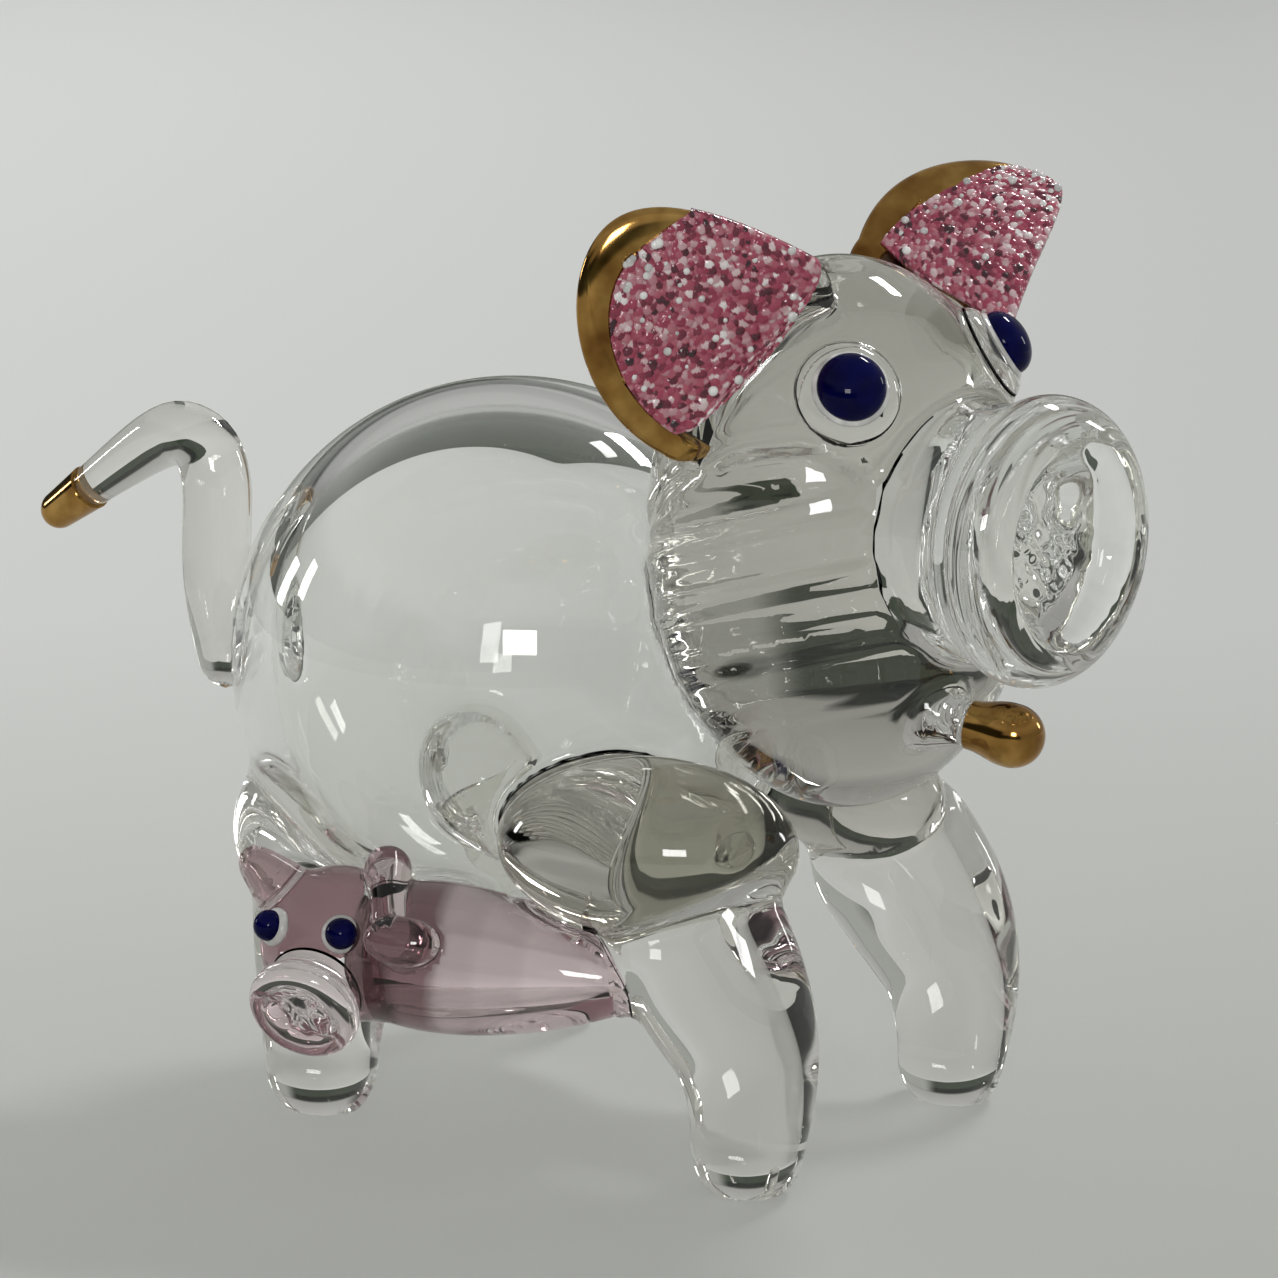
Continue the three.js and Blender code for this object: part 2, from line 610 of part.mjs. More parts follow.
const pointedEar = [
  [onPiglet(sides.right, pigletPointTurn, pigletPointLift, -pigletPointSink), pigletPointThickness],
  [onPiglet(sides.right, pigletPointTurn, pigletPointLift, 0), pigletPointThickness],
  [onPiglet(sides.right, pigletPointTurn, pigletPointLift, pigletPointRise), pigletPointTipThickness],
];
const rightEar = solid(rod(pointedEar, { sides: 10, rings: 10 }), pigletPlace);
piglet.add(mesh("piglet_right_ear", rightEar.subtract(aroundEars), roseGlass));

const knob = onPiglet(sides.left, pigletKnobTurn, pigletKnobLift, pigletKnobRise);
const lobe = onPiglet(sides.left, pigletLobeTurn, pigletLobeLift, pigletLobeRise);
const foldTurn = (pigletKnobTurn + pigletLobeTurn) / 2;
const foldLift = (pigletKnobLift + pigletLobeLift) / 2;
const fold = onPiglet(sides.left, foldTurn, foldLift, pigletFoldRise);
const stem = [knob, fold, lobe].map((place) => [place, pigletFoldThickness]);
const drop = (place, width) => solid(ellipsoid([width, width, width]).translate(...place), pigletPlace);
const ends = drop(knob, pigletKnobThickness).add(drop(lobe, pigletLobeThickness));
const leftEar = solid(rod(stem, { sides: 10, rings: 8 }), pigletPlace).add(ends);
piglet.add(mesh("piglet_left_ear", leftEar.subtract(aroundEars), roseGlass));

const model = new THREE.Group();
model.add(sow, piglet);

// The natural reference point is the middle of the footprint, on the ground.
const extent = new THREE.Box3().setFromObject(model);
const middle = extent.getCenter(vec(0, 0, 0));
model.children.forEach((group) => group.position.set(-middle.x, -middle.y, -extent.min.z));

export default model;
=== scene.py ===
"""A lampworked glass sow with a rose glass piglet lying between its right legs."""
import math

import bpy
import numpy as np
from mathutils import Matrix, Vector


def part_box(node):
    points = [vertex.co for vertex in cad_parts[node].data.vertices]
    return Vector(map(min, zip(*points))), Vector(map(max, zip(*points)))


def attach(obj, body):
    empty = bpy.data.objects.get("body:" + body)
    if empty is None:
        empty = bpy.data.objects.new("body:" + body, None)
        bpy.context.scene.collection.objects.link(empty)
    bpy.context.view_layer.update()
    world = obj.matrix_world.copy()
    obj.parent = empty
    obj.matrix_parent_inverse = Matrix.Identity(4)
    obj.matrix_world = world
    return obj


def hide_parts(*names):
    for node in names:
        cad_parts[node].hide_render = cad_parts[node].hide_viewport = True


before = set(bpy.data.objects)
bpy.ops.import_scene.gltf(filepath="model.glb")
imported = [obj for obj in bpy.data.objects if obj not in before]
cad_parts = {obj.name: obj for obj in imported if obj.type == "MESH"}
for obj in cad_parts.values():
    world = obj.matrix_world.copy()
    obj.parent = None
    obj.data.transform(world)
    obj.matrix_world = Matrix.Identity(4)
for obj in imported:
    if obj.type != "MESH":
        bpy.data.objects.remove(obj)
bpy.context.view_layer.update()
scene = bpy.context.scene
scene.view_settings.view_transform = "Standard"


# Camera: a little above the sow, on its right and ahead of it. It is 20 cm away with a long lens, so that the near
# snout doesn't swell.
view_turn = math.radians(36.0)
view_rise = math.radians(11.5)
view_distance = 0.200
view_aim = Vector((0.00196, 0.00599, 0.02021))
view_back = Vector((
    math.sin(view_turn) * math.cos(view_rise),
    -math.cos(view_turn) * math.cos(view_rise),
    math.sin(view_rise),
))
camera_data = bpy.data.cameras.new("camera")
camera_data.sensor_width = 36.0
camera_data.lens = 123.9
camera_data.clip_start = 0.005
camera = bpy.data.objects.new("camera", camera_data)
camera.location = view_aim + view_distance * view_back
camera.rotation_euler = view_back.to_track_quat("Z", "Y").to_euler()
scene.collection.objects.link(camera)
scene.camera = camera


# Body: a blown bubble of clear glass with a wall of about a millimetre and a half. It is the first piece made,
# and every other gather is melted onto it or onto a gather that it carries.
MM = 0.001
bubble_half = np.array([13.2, 12.6, 12.7])
bubble_wall = 1.6
bubble_low, bubble_high = (np.array(corner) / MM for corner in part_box("body_bubble"))
bubble_middle = (bubble_low + bubble_high) / 2
bubble_middle[0] = bubble_low[0] + bubble_half[0]
sow_middle = bubble_middle * [1, 1, 0]
wall_seat = 0.4


def ball(rows, columns):
    """Grid of rings on the unit sphere, from the pole at -Z to the pole at +Z."""
    lift = np.linspace(-math.pi / 2, math.pi / 2, rows)[:, None]
    turn = np.linspace(0, 2 * math.pi, columns, endpoint=False)[None, :]
    level = np.cos(lift)
    return np.stack([level * np.cos(turn), level * np.sin(turn), np.sin(lift) + 0 * turn], -1)


def closed(grid):
    """Points and faces of a grid of rings: each ring closes on itself, the first and last shrink to poles, and
    the faces are turned round where the volume that they hold comes out negative."""
    rows, columns = grid.shape[0] - 2, grid.shape[1]
    points = np.vstack([grid[0].mean(0), grid[1:-1].reshape(-1, 3), grid[-1].mean(0)])
    here = 1 + np.arange(rows * columns).reshape(rows, columns)
    beside = np.roll(here, -1, axis=1)
    quads = np.stack([here[:-1], beside[:-1], beside[1:], here[1:]], -1).reshape(-1, 4)
    first = np.stack([0 * here[0], beside[0], here[0]], -1)
    last = np.stack([0 * here[0] + len(points) - 1, here[-1], beside[-1]], -1)
    corners = points[np.vstack([quads[:, :3], quads[:, [0, 2, 3]], first, last])]
    volume = np.einsum("ij,ij->i", corners[:, 0], np.cross(corners[:, 1], corners[:, 2])).sum()
    step = 1 if volume > 0 else -1
    return points, [face for part in (quads, first, last) for face in part[:, ::step].tolist()]


def ball_field(middle, half, axes=np.eye(3)):
    """Distance from an ellipsoid near its skin: the point's length in half axes, less one, over its slope."""
    def field(points):
        local = (points - middle) @ axes / half
        length = np.linalg.norm(local, axis=-1) + 1e-9
        slope = np.linalg.norm(local / half, axis=-1) + 1e-9
        return length * (length - 1) / slope
    return field


def melted(one, other, flow):
    """Two distances run together: the lesser of them, less a quarter of flow where they are equal."""
    share = np.maximum(flow - np.abs(one - other), 0) / flow
    return np.minimum(one, other) - share * share * flow / 4


bubble_field = ball_field(bubble_middle, bubble_half)


def out_of_hollow(points):
    """Points inside the bubble, moved out from its middle until they lie in its wall, and which they are."""
    local = (points - bubble_middle) / bubble_half
    length = np.linalg.norm(local, axis=-1)
    skin = 1 - wall_seat / bubble_half.mean()
    inside = length < skin
    grown = bubble_middle + local * (skin / np.maximum(length, 1e-6))[:, None] * bubble_half
    return np.where(inside[:, None], grown, points), inside


class Wire:
    """A socket in a node tree. Sums of wires and numbers add Math nodes, and the other methods add other nodes."""

    def __init__(self, tree, socket=None):
        self.tree = tree
        self.socket = socket

    def node(self, kind, settings=None, sockets=None, output=0):
        """The output of a new node of a kind, with its settings and its sockets set or linked."""
        made = self.tree.nodes.new(kind)
        for key, value in (settings or {}).items():
            if key == "stops":
                while len(made.color_ramp.elements) < len(value):
                    made.color_ramp.elements.new(1.0)
                for element, (place, colour) in zip(made.color_ramp.elements, value):
                    element.position = place
                    element.color = (*colour, 1.0)
            else:
                setattr(made, key, value)
        for key, value in (sockets or {}).items():
            if isinstance(value, Wire):
                self.tree.links.new(value.socket, made.inputs[key])
            else:
                made.inputs[key].default_value = value
        return Wire(self.tree, made.outputs[output]) if made.outputs else None

    def math(self, operation, one, other):
        return self.node("ShaderNodeMath", {"operation": operation}, {0: one, 1: other})

    def __add__(self, other):
        return self.math("ADD", self, other)

    __radd__ = __add__

    def __sub__(self, other):
        return self.math("SUBTRACT", self, other)

    def __mul__(self, other):
        return self.math("MULTIPLY", self, other)

    __rmul__ = __mul__

    def __gt__(self, other):
        return self.math("GREATER_THAN", self, other)

    def mark(self, name):
        """The value of a mark that the piece's points carry."""
        return self.node("ShaderNodeAttribute", {"attribute_name": name}, output="Fac")

    def cloud(self, scale, detail, roughness=0.5):
        """Noise that stays with the piece."""
        place = self.node("ShaderNodeTexCoord", output="Object")
        return self.node("ShaderNodeTexNoise", None, {
            "Vector": place, "Scale": scale, "Detail": detail, "Roughness": roughness,
        })

    def ramp(self, *stops):
        """A colour that runs through stops of a place and a colour as this wire grows."""
        return self.node("ShaderNodeValToRGB", {"stops": stops}, {"Fac": self})

    def step(self, start, end, low=0.0, high=1.0):
        """A smooth step from low, where this wire is at start, to high, where it is at end."""
        return self.node("ShaderNodeMapRange", {"interpolation_type": "SMOOTHSTEP"}, {
            "Value": self, "From Min": start, "From Max": end, "To Min": low, "To Max": high,
        })

    def along(self, direction):
        """How far this wire's vector reaches along a direction."""
        return self.node("ShaderNodeVectorMath", {"operation": "DOT_PRODUCT"}, {0: self, 1: direction}, output="Value")

    def blend(self, wire, colour):
        """A wire's colour where this wire is nought, and the other colour where it is one, which go into sockets
        6 and 7 of a Mix node and come out of its output 2."""
        return self.node("ShaderNodeMix", {"data_type": "RGBA"}, {
            "Factor": self, 6: wire, 7: (*colour, 1.0),
        }, output=2)

    def surface(self, sockets):
        """A principled shader with these sockets, as the surface of the material."""
        shader = self.node("ShaderNodeBsdfPrincipled", None, sockets)
        self.node("ShaderNodeOutputMaterial", None, {"Surface": shader})


def blank_material(name):
    """An empty material and the wire that its nodes are added through."""
    made = bpy.data.materials.new(name)
    made.use_nodes = True
    made.node_tree.nodes.clear()
    return made, Wire(made.node_tree)


def glass(name, colour, deep=None):
    """Fire-polished glass: it bends and reflects light where it meets air, and not where it is fused to glass, which
    is where the piece's own mark called bare is below nought. A second mark of painted shade darkens it towards the
    deep colour."""
    made, wire = blank_material(name)
    tint = wire.mark("thick").ramp((0.0, colour), (1.0, deep)) if deep else (*colour, 1.0)
    wire.surface({
        "Base Color": tint, "Roughness": 0.0, "IOR": 1.47, "Transmission Weight": 1.0,
        "Alpha": wire.mark("bare") > 0.0,
    })
    return made


def make(name, points, faces, material, slot, *nodes):
    """A smooth mesh of points in millimetres, riding on the figurine in place of its solids."""
    mesh = bpy.data.meshes.new(name)
    mesh.from_pydata((points * MM).tolist(), [], faces)
    mesh.shade_smooth()
    mesh.materials.append(material)
    made = bpy.data.objects.new(name, mesh)
    scene.collection.objects.link(made)
    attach(made, "root")
    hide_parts(*nodes)
    return made


class Gather:
    """A gather of glass: a closed skin, the distance field of its solid, and the gathers that it is fused to. The
    lining is a second skin that faces a hollow, and whole says that the field shapes all of the skin."""
    made = []

    def __init__(self, name, grid, field, material, slot, *nodes, lining=None, sole=False, whole=False):
        self.points, faces = closed(grid)
        self.field = field
        self.seams = []
        self.sole = sole
        self.whole = whole
        points = self.points
        if lining is not None:
            inside, inside_faces = closed(lining)
            faces = faces + [[len(points) + corner for corner in face[::-1]] for face in inside_faces]
            points = np.vstack([points, inside])
        self.object = make(name, points, faces, material, slot, *nodes)
        Gather.made.append(self)

    def melt(self, flow, *hosts):
        """Fuses this gather to others, with a fillet about as wide as flow along each seam."""
        for host in hosts:
            self.seams.append((host.field, flow))
            host.seams.append((self.field, flow))

    def union(self, points):
        """Distance to this gather run together with its neighbours, and where a fillet reaches."""
        own = self.field(points)
        union, near = own.copy(), np.zeros(len(points), bool)
        for field, flow in self.seams:
            other = field(points)
            union = np.minimum(union, melted(own, other, flow))
            near |= np.abs(own - other) < flow
        return union, near

    def slope(self, points, union):
        """Gradient of the union, by a small step along each axis."""
        step = 0.01
        return np.stack([self.union(points + step * axis)[0] - union for axis in np.eye(3)], -1) / step

    def settle(self):
        """Moves the skin near each seam onto the fillet, by a few steps down the union's slope, keeps it out of
        the bubble's hollow, takes the fillet's own slope for its shading, and marks how far each point is from
        being inside other glass. A sole lies flat on the table, so it has no fillet and isn't bare."""
        newton_steps, least_slope, flat_below, on_table = 6, 0.2, 0.6, 0.001
        points = self.points.copy()
        near = np.ones(len(points), bool) if self.whole else self.union(points)[1]
        moving = points[near]
        for _ in range(newton_steps):
            union = self.union(moving)[0]
            slope = self.slope(moving, union)
            moving = moving - slope * (union / np.maximum((slope * slope).sum(-1), least_slope))[:, None]
        points[near] = moving
        covered = np.zeros(len(points), bool)
        if self.field is not bubble_field:
            points, covered = out_of_hollow(points)
        if self.sole:
            points[:, 2] = np.maximum(points[:, 2], 0)
            near &= points[:, 2] > flat_below
        others = np.min([field(points) for field, _ in self.seams], axis=0)
        mesh = self.object.data
        count = len(mesh.vertices)
        places, bare = np.empty(count * 3, np.float32), np.ones(count, np.float32)
        mesh.vertices.foreach_get("co", places)
        places.reshape(-1, 3)[:len(points)] = points * MM
        bare[:len(points)] = np.where(covered, -1.0, others - self.field(points))
        if self.sole:
            bare[:len(points)][points[:, 2] < on_table] = -1.0
        mesh.vertices.foreach_set("co", places)
        mesh.attributes.new("bare", "FLOAT", "POINT").data.foreach_set("value", bare)
        mesh.update()
        normals = np.empty(count * 3, np.float32)
        mesh.vertex_normals.foreach_get("vector", normals)
        normals = normals.reshape(-1, 3)
        kept = np.flatnonzero(near & ~covered)
        slope = self.slope(points[kept], self.union(points[kept])[0])
        normals[kept] = slope / np.maximum(np.linalg.norm(slope, axis=1), 1e-6)[:, None]
        mesh.normals_split_custom_set_from_vertices(normals)


clear_glass = glass("clear_glass", (0.965, 0.975, 0.955))
solid_glass = glass("solid_glass", (0.88, 0.875, 0.84))
# The head's glass is a darker copy of the solid glass: its grey is painted shade.
shaded_head_glass = glass("shaded_head_glass", (0.64, 0.63, 0.575))


def mark_painted_shade(gather, thick):
    """Gives every point of a gather its share of the painted shade, which darkens its glass towards the deep colour.
    """
    kept = gather.object.data.attributes.new("thick", "FLOAT", "POINT")
    kept.data.foreach_set("value", np.clip(thick, 0, 1).astype(np.float32))


def blown_hollow(rows, columns):
    """Grid of the bubble's inside: the outside drawn in by the wall, which wanders a little as blown glass does and
    is thickest at the neck."""
    out = ball(rows, columns)
    x, y, z = np.moveaxis(out, -1, 0)
    neck = np.clip((x - 0.45) / 0.5, 0, 1)
    wall = bubble_wall * (0.9 + 0.07 * np.sin(3 * x + 2 * y) + 0.05 * np.sin(5 * z - 3 * y)) + 1.2 * neck * neck
    return bubble_middle + out * (bubble_half - wall[..., None])


bubble = Gather("bubble", bubble_middle + ball(130, 220) * bubble_half, bubble_field,
                clear_glass, "clear_glass", "body_bubble", lining=blown_hollow(90, 150))


# Head: one solid gather of clear glass, wound onto the bubble's blow hole, which it closes, and darkened to grey by
# painted shade. It is turned a little to the right and leans over.
head_half = np.array([7.9, 9.0, 12.0])
head_middle = sow_middle + [17.7, 0.0, 27.0]
head_turn = math.radians(-6.0)
head_lean = math.radians(4.5)
head_fillet = 0.5
cheek_ring = 0.045
brow_crease = 0.24
crease_width = 0.5
crease_top = np.array([3.5, 5.75])


def about(axis, angle):
    """Matrix of a turn about X, Y or Z (0, 1, 2), with the turned axes in its columns."""
    made = np.eye(3)
    one, two = (axis + 1) % 3, (axis + 2) % 3
    made[one, one] = made[two, two] = math.cos(angle)
    made[two, one] = math.sin(angle)
    made[one, two] = -math.sin(angle)
    return made


head_axes = about(2, head_turn) @ about(0, head_lean)
head_distance = ball_field(head_middle, head_half, head_axes)


def head_field(points):
    """Distance from the head: an ellipsoid with the faint rings that winding left on its cheeks, and a crease that
    arches over each cheek where the brow was laid on."""
    x, y, z = ((points - head_middle) @ head_axes).T
    climb = 0.95 * z - 0.3 * x + 0.05 * y
    rings = np.exp(-((z + 1.6) / 5.2) ** 2) * (np.sin(2.7 * climb) + 0.6 * np.sin(4.9 * climb + 0.4 * y))
    arch = crease_top[1] - np.where(x < crease_top[0], 0.06, 0.32) * (x - crease_top[0]) ** 2
    beside = np.clip((np.abs(y) - 3.4) / 1.6, 0, 1)
    crease = beside * beside * (3 - 2 * beside) * np.exp(-((z - arch) / crease_width) ** 2)
    return head_distance(points) - cheek_ring * rings + brow_crease * crease


head = Gather("head_gather", head_middle + ball(130, 190) * head_half @ head_axes.T, head_field,
              shaded_head_glass, "clear_glass", "head", whole=True)
head.melt(head_fillet, bubble)


# Snout: a thick disc of clear glass pressed onto a short muzzle while soft, and fused to the front of the head. Its
# face is deeply dished, and two pits are poked into it for nostrils.
snout_width = 12.2
snout_thickness = 3.6
snout_rim = 1.7
muzzle_width = 11.0
muzzle_root = 5.0
dish_width = 9.0
dish_depth = 1.9
nostril_spacing = 2.9
nostril_rise = 1.3
nostril_half = np.array([0.62, 0.9])
nostril_depth = 0.75
face_crumple = 0.06
snout_fillet = 0.5
snout_middle = head_middle + head_axes @ [8.9, 0.0, 0.9]


def pressed_disc(width, thickness, rim, muzzle, root, dish, depth):
    """Grid of a disc turned about X: the muzzle's root and side, the disc's edge as an arc of an ellipse from where
    it leaves the muzzle, and a face that sinks by depth inside the dish along a smooth step, then bowls a little."""
    back_steps, bend_steps, face_steps, columns = 16, 26, 52, 128
    edge = width / 2 - rim
    leave = -math.acos(min((muzzle / 2 - edge) / rim, 1.0))
    bend = np.linspace(leave, math.pi / 2, bend_steps)
    inward = edge * np.linspace(1, 0, face_steps)[1:]
    ramp = np.clip((dish / 2 - inward) / (0.24 * dish), 0, 1)
    sunk = depth * (0.75 * ramp * ramp * (3 - 2 * ramp) + 0.25 * (1 - (inward / edge) ** 2))
    back = np.linspace(0, 1, back_steps)[:-1]
    shoulder = thickness / 2 * (1 + math.sin(leave))
    radius = np.concatenate([muzzle / 2 * np.sqrt(1 - (1 - back) ** 4), edge + rim * np.cos(bend), inward])
    ahead = np.concatenate([shoulder - (root + shoulder) * (1 - back), thickness / 2 * (1 + np.sin(bend)),
                            thickness - sunk])
    turn = np.linspace(0, 2 * math.pi, columns, endpoint=False)
    return np.stack([
        ahead[:, None] + 0 * turn, radius[:, None] * np.cos(turn), radius[:, None] * np.sin(turn),
    ], -1)


def poke(grid, face, spacing, rise, half, depth, crumple):
    """Sinks two pits with raised lips into the face of a disc, which is what lies ahead of face, and crumples it
    with a few slow waves, as glass does when it is pressed while half cold."""
    y, z = grid[..., 1], grid[..., 2]
    inside = np.clip(1.25 - np.hypot(y, z) / (face * 2.2), 0, 1)
    move = crumple * inside * (np.sin(2.3 * y / crumple / 12 + 0.7) * np.sin(2.9 * z / crumple / 12 - 0.4)
                               + 0.6 * np.sin(4.1 * y / crumple / 12 + 3.3 * z / crumple / 12))
    for side in (-1, 1):
        offset = (((grid[..., 1:] - [side * spacing / 2, rise]) / half) ** 2).sum(-1)
        move += 0.14 * depth * np.exp(-(offset - 2.2) ** 2) - depth * np.exp(-offset ** 2)
    grid[..., 0] += np.where(grid[..., 0] > face * 0.3, move * (np.hypot(y, z) < face * 2.4), 0)


def disc_field(middle, axes, width, thickness, rim, muzzle, root):
    """Distance from a disc with a rounded edge, run together with the muzzle's short cylinder behind it."""
    def field(points):
        local = (points - middle) @ axes
        radius = np.hypot(local[:, 1], local[:, 2])
        out = np.stack([radius - width / 2 + rim, np.abs(local[:, 0] - thickness / 2) - thickness / 2 + rim], -1)
        disc = np.minimum(out.max(-1), 0) + np.linalg.norm(np.maximum(out, 0), axis=-1) - rim
        neck = np.maximum(radius - muzzle / 2, np.abs(local[:, 0] + root / 2) - root / 2)
        return np.minimum(disc, neck)
    return field


snout_sizes = dict(
    width=snout_width, thickness=snout_thickness, rim=snout_rim, muzzle=muzzle_width, root=muzzle_root,
)
snout_grid = pressed_disc(dish=dish_width, depth=dish_depth, **snout_sizes)
poke(snout_grid, snout_thickness / 2, nostril_spacing, nostril_rise, nostril_half, nostril_depth, face_crumple)
snout = Gather("snout_gather", snout_middle + snout_grid @ head_axes.T,
               disc_field(snout_middle, head_axes, **snout_sizes), clear_glass, "clear_glass", "snout")
snout.melt(snout_fillet, head)


# Lower jaw: a drop of clear glass melted to the head under the snout and drawn out forward to a swollen end. Gold
# lustre is brushed onto that end and fired. Its stations are places in the head's axes and widths.
jaw_stations = np.array([
    [3.6, -1.9, -6.4, 2.2],
    [6.1, -2.0, -6.7, 2.8],
    [7.7, -1.5, -7.0, 1.9],
    [9.2, -1.1, -7.25, 2.5],
    [10.85, -1.0, -7.5, 2.35],
])
jaw_gold_length = 3.2
jaw_fillet = 0.9
gold_thickness = 0.1


def spline(stations, count):
    """Even samples of a curve through stations: cubic pieces whose slopes come from the root of each chord."""
    ends = np.vstack([2 * stations[0] - stations[1], stations, 2 * stations[-1] - stations[-2]])
    chord = np.sqrt(np.linalg.norm(np.diff(ends[:, :3], axis=0), axis=1))[:, None]
    rise = np.diff(ends, axis=0) / chord
    slope = rise[:-1] - (ends[2:] - ends[:-2]) / (chord[:-1] + chord[1:]) + rise[1:]
    along = np.linspace(0, len(stations) - 1, 40 * len(stations))
    first = np.minimum(along.astype(int), len(stations) - 2)
    t = (along - first)[:, None]
    reach = chord[1:-1][first]
    curve = (
        (1 + 2 * t) * (1 - t) ** 2 * stations[first] + t * (1 - t) ** 2 * reach * slope[first]
        + t * t * (3 - 2 * t) * stations[first + 1] - t * t * (1 - t) * reach * slope[first + 1]
    )
    length = np.concatenate([[0], np.linalg.norm(np.diff(curve[:, :3], axis=0), axis=1).cumsum()])
    even = np.linspace(0, length[-1], count)
    return np.stack([np.interp(even, length, column) for column in curve.T], -1), length[-1]


def rod(stations, rows, columns, start=0.0, grow=0.0):
    """Grid of a round rod through stations of a place and a width: rings square to the path, rounded at both
    ends, from a share of the length on, with grow added all round."""
    samples = 400
    path, length = spline(stations, samples)
    even = np.linspace(0, 1, samples)
    share = start + (1 - start) * (1 - np.cos(np.linspace(0, math.pi, rows))) / 2
    spots = np.stack([np.interp(share, even, column) for column in path.T], -1)
    tangent = np.gradient(path[:, :3], axis=0)
    tangent = np.stack([np.interp(share, even, column) for column in tangent.T], -1)
    tangent /= np.linalg.norm(tangent, axis=1)[:, None]
    sideways = [0.0, 1.0, 0.0] - tangent * tangent[:, 1:2]
    sideways /= np.linalg.norm(sideways, axis=1)[:, None]
    forward = np.cross(tangent, sideways)
    radius = spots[:, 3] / 2
    ending = np.minimum(share if start == 0 else 1.0, 1 - share) * length
    part = np.clip(ending / radius, 0, 1)
    radius = radius * np.sqrt(part * (2 - part)) + grow * np.where(part > 0, 1, 0)
    turn = np.linspace(0, 2 * math.pi, columns, endpoint=False)[None, :, None]
    return (
        (spots[:, :3] + tangent * (grow * (2 * share - 1))[:, None])[:, None]
        + radius[:, None, None] * (np.cos(turn) * forward[:, None] + np.sin(turn) * sideways[:, None])
    )


def rod_field(stations):
    """Distance from a rod: the least distance to a run of balls of its width along its path, squeezed sideways by
    the stations' fifth number, and far off the distance to the box that holds them."""
    samples, far_off = 90, 3.0
    path, length = spline(stations, samples)
    along = np.linspace(0, length, samples)
    kept = path[(along >= path[0, 3] / 2) & (along <= length - path[-1, 3] / 2)]
    radius = kept[:, 3] / 2
    squeeze = kept[:, 4] if kept.shape[1] > 4 else 1.0
    low, high = (kept[:, :3] - radius[:, None]).min(0), (kept[:, :3] + radius[:, None]).max(0)

    def field(points):
        distance = np.linalg.norm(np.maximum(np.maximum(low - points, points - high), 0), axis=-1)
        close = distance < far_off
        gap = points[close][:, None] - kept[:, :3]
        gap[..., 1] /= squeeze
        distance[close] = (np.linalg.norm(gap, axis=-1) - radius).min(1)
        return distance
    return field


def drawn(name, stations, rows, columns, material, slot, *nodes):
    """A gather drawn out to a rod."""
    return Gather(name, rod(stations, rows, columns), rod_field(stations), material, slot, *nodes)


def on_head(stations):
    """Stations of places in the head's own axes, moved to where the head is."""
    return np.hstack([head_middle + stations[:, :3] @ head_axes.T, stations[:, 3:]])


def gold(name):
    """Fired gold lustre: a thin metal film that pools darker and browner where the brush left it thick."""
    made, wire = blank_material(name)
    pool = wire.cloud(420.0, 3.0, 0.55)
    colour = pool.ramp((0.30, (0.20, 0.09, 0.022)), (0.50, (0.38, 0.205, 0.055)), (0.70, (0.62, 0.38, 0.12)))
    wire.surface({"Base Color": colour, "Metallic": 1.0, "Roughness": 0.05 + 0.12 * pool})
    return made


gold_lustre = gold("gold_lustre")


def gild(name, stations, columns, length, node):
    """A thin cap of gold over a length of a rod's end."""
    start = 1 - length / spline(stations, 2)[1]
    make(name, *closed(rod(stations, 40, columns, start, gold_thickness)), gold_lustre, "gold_lustre", node)


jaw_stations = on_head(jaw_stations)
jaw = drawn("jaw_drop", jaw_stations, 70, 56, solid_glass, "clear_glass", "lower_jaw")
jaw.melt(jaw_fillet, head)
gild("jaw_gilding", jaw_stations, 40, jaw_gold_length, "lower_jaw_gold_tip")


# Eyes: a pad of clear glass melted flat on the brow, a thin spot of opal white on it, and a cobalt bead on that
# which stands proud and leaves a pale ring.
eye_turn = math.radians(46.0)
eye_lift = math.radians(48.5)
eye_pad_half = np.array([2.1, 2.1, 0.85])
eye_bead_half = np.array([1.45, 1.45, 1.0])
eye_bead_rise = 0.75
eye_opal_half = np.array([1.62, 1.62, 0.42])
eye_opal_rise = 0.52
eye_fillet = 0.5


def seat(half, turn, lift, side):
    """Place and axes of a spot on an ellipsoid's skin, turned from straight ahead and lifted from level: the third
    axis points out along the skin's slope."""
    out = np.array([math.cos(lift) * math.cos(turn), side * math.cos(lift) * math.sin(turn), math.sin(lift)])
    place = out / np.linalg.norm(out / half)
    normal = place / half / half
    normal /= np.linalg.norm(normal)
    across = np.cross([0.0, 0.0, 1.0], normal)
    across /= np.linalg.norm(across)
    return place, np.stack([across, np.cross(normal, across), normal], -1)


def lump(name, middle, half, axes, rows, columns, material, slot, *nodes):
    """A gather melted to an ellipsoid."""
    return Gather(name, middle + ball(rows, columns) * half @ axes.T, ball_field(middle, half, axes), material, slot,
                  *nodes)


def opaque(name, colour, roughness, coat, gloss=0.3):
    """Glossy coloured glass that no light passes, a little uneven in depth of colour."""
    made, wire = blank_material(name)
    deep = tuple(0.55 * part for part in colour)
    tint = wire.cloud(900.0, 2.0).ramp((0.35, deep), (0.65, colour))
    wire.surface({
        "Base Color": tint, "Roughness": roughness, "Coat Weight": coat, "Coat Roughness": 0.01,
        "Specular IOR Level": gloss,
    })
    return made


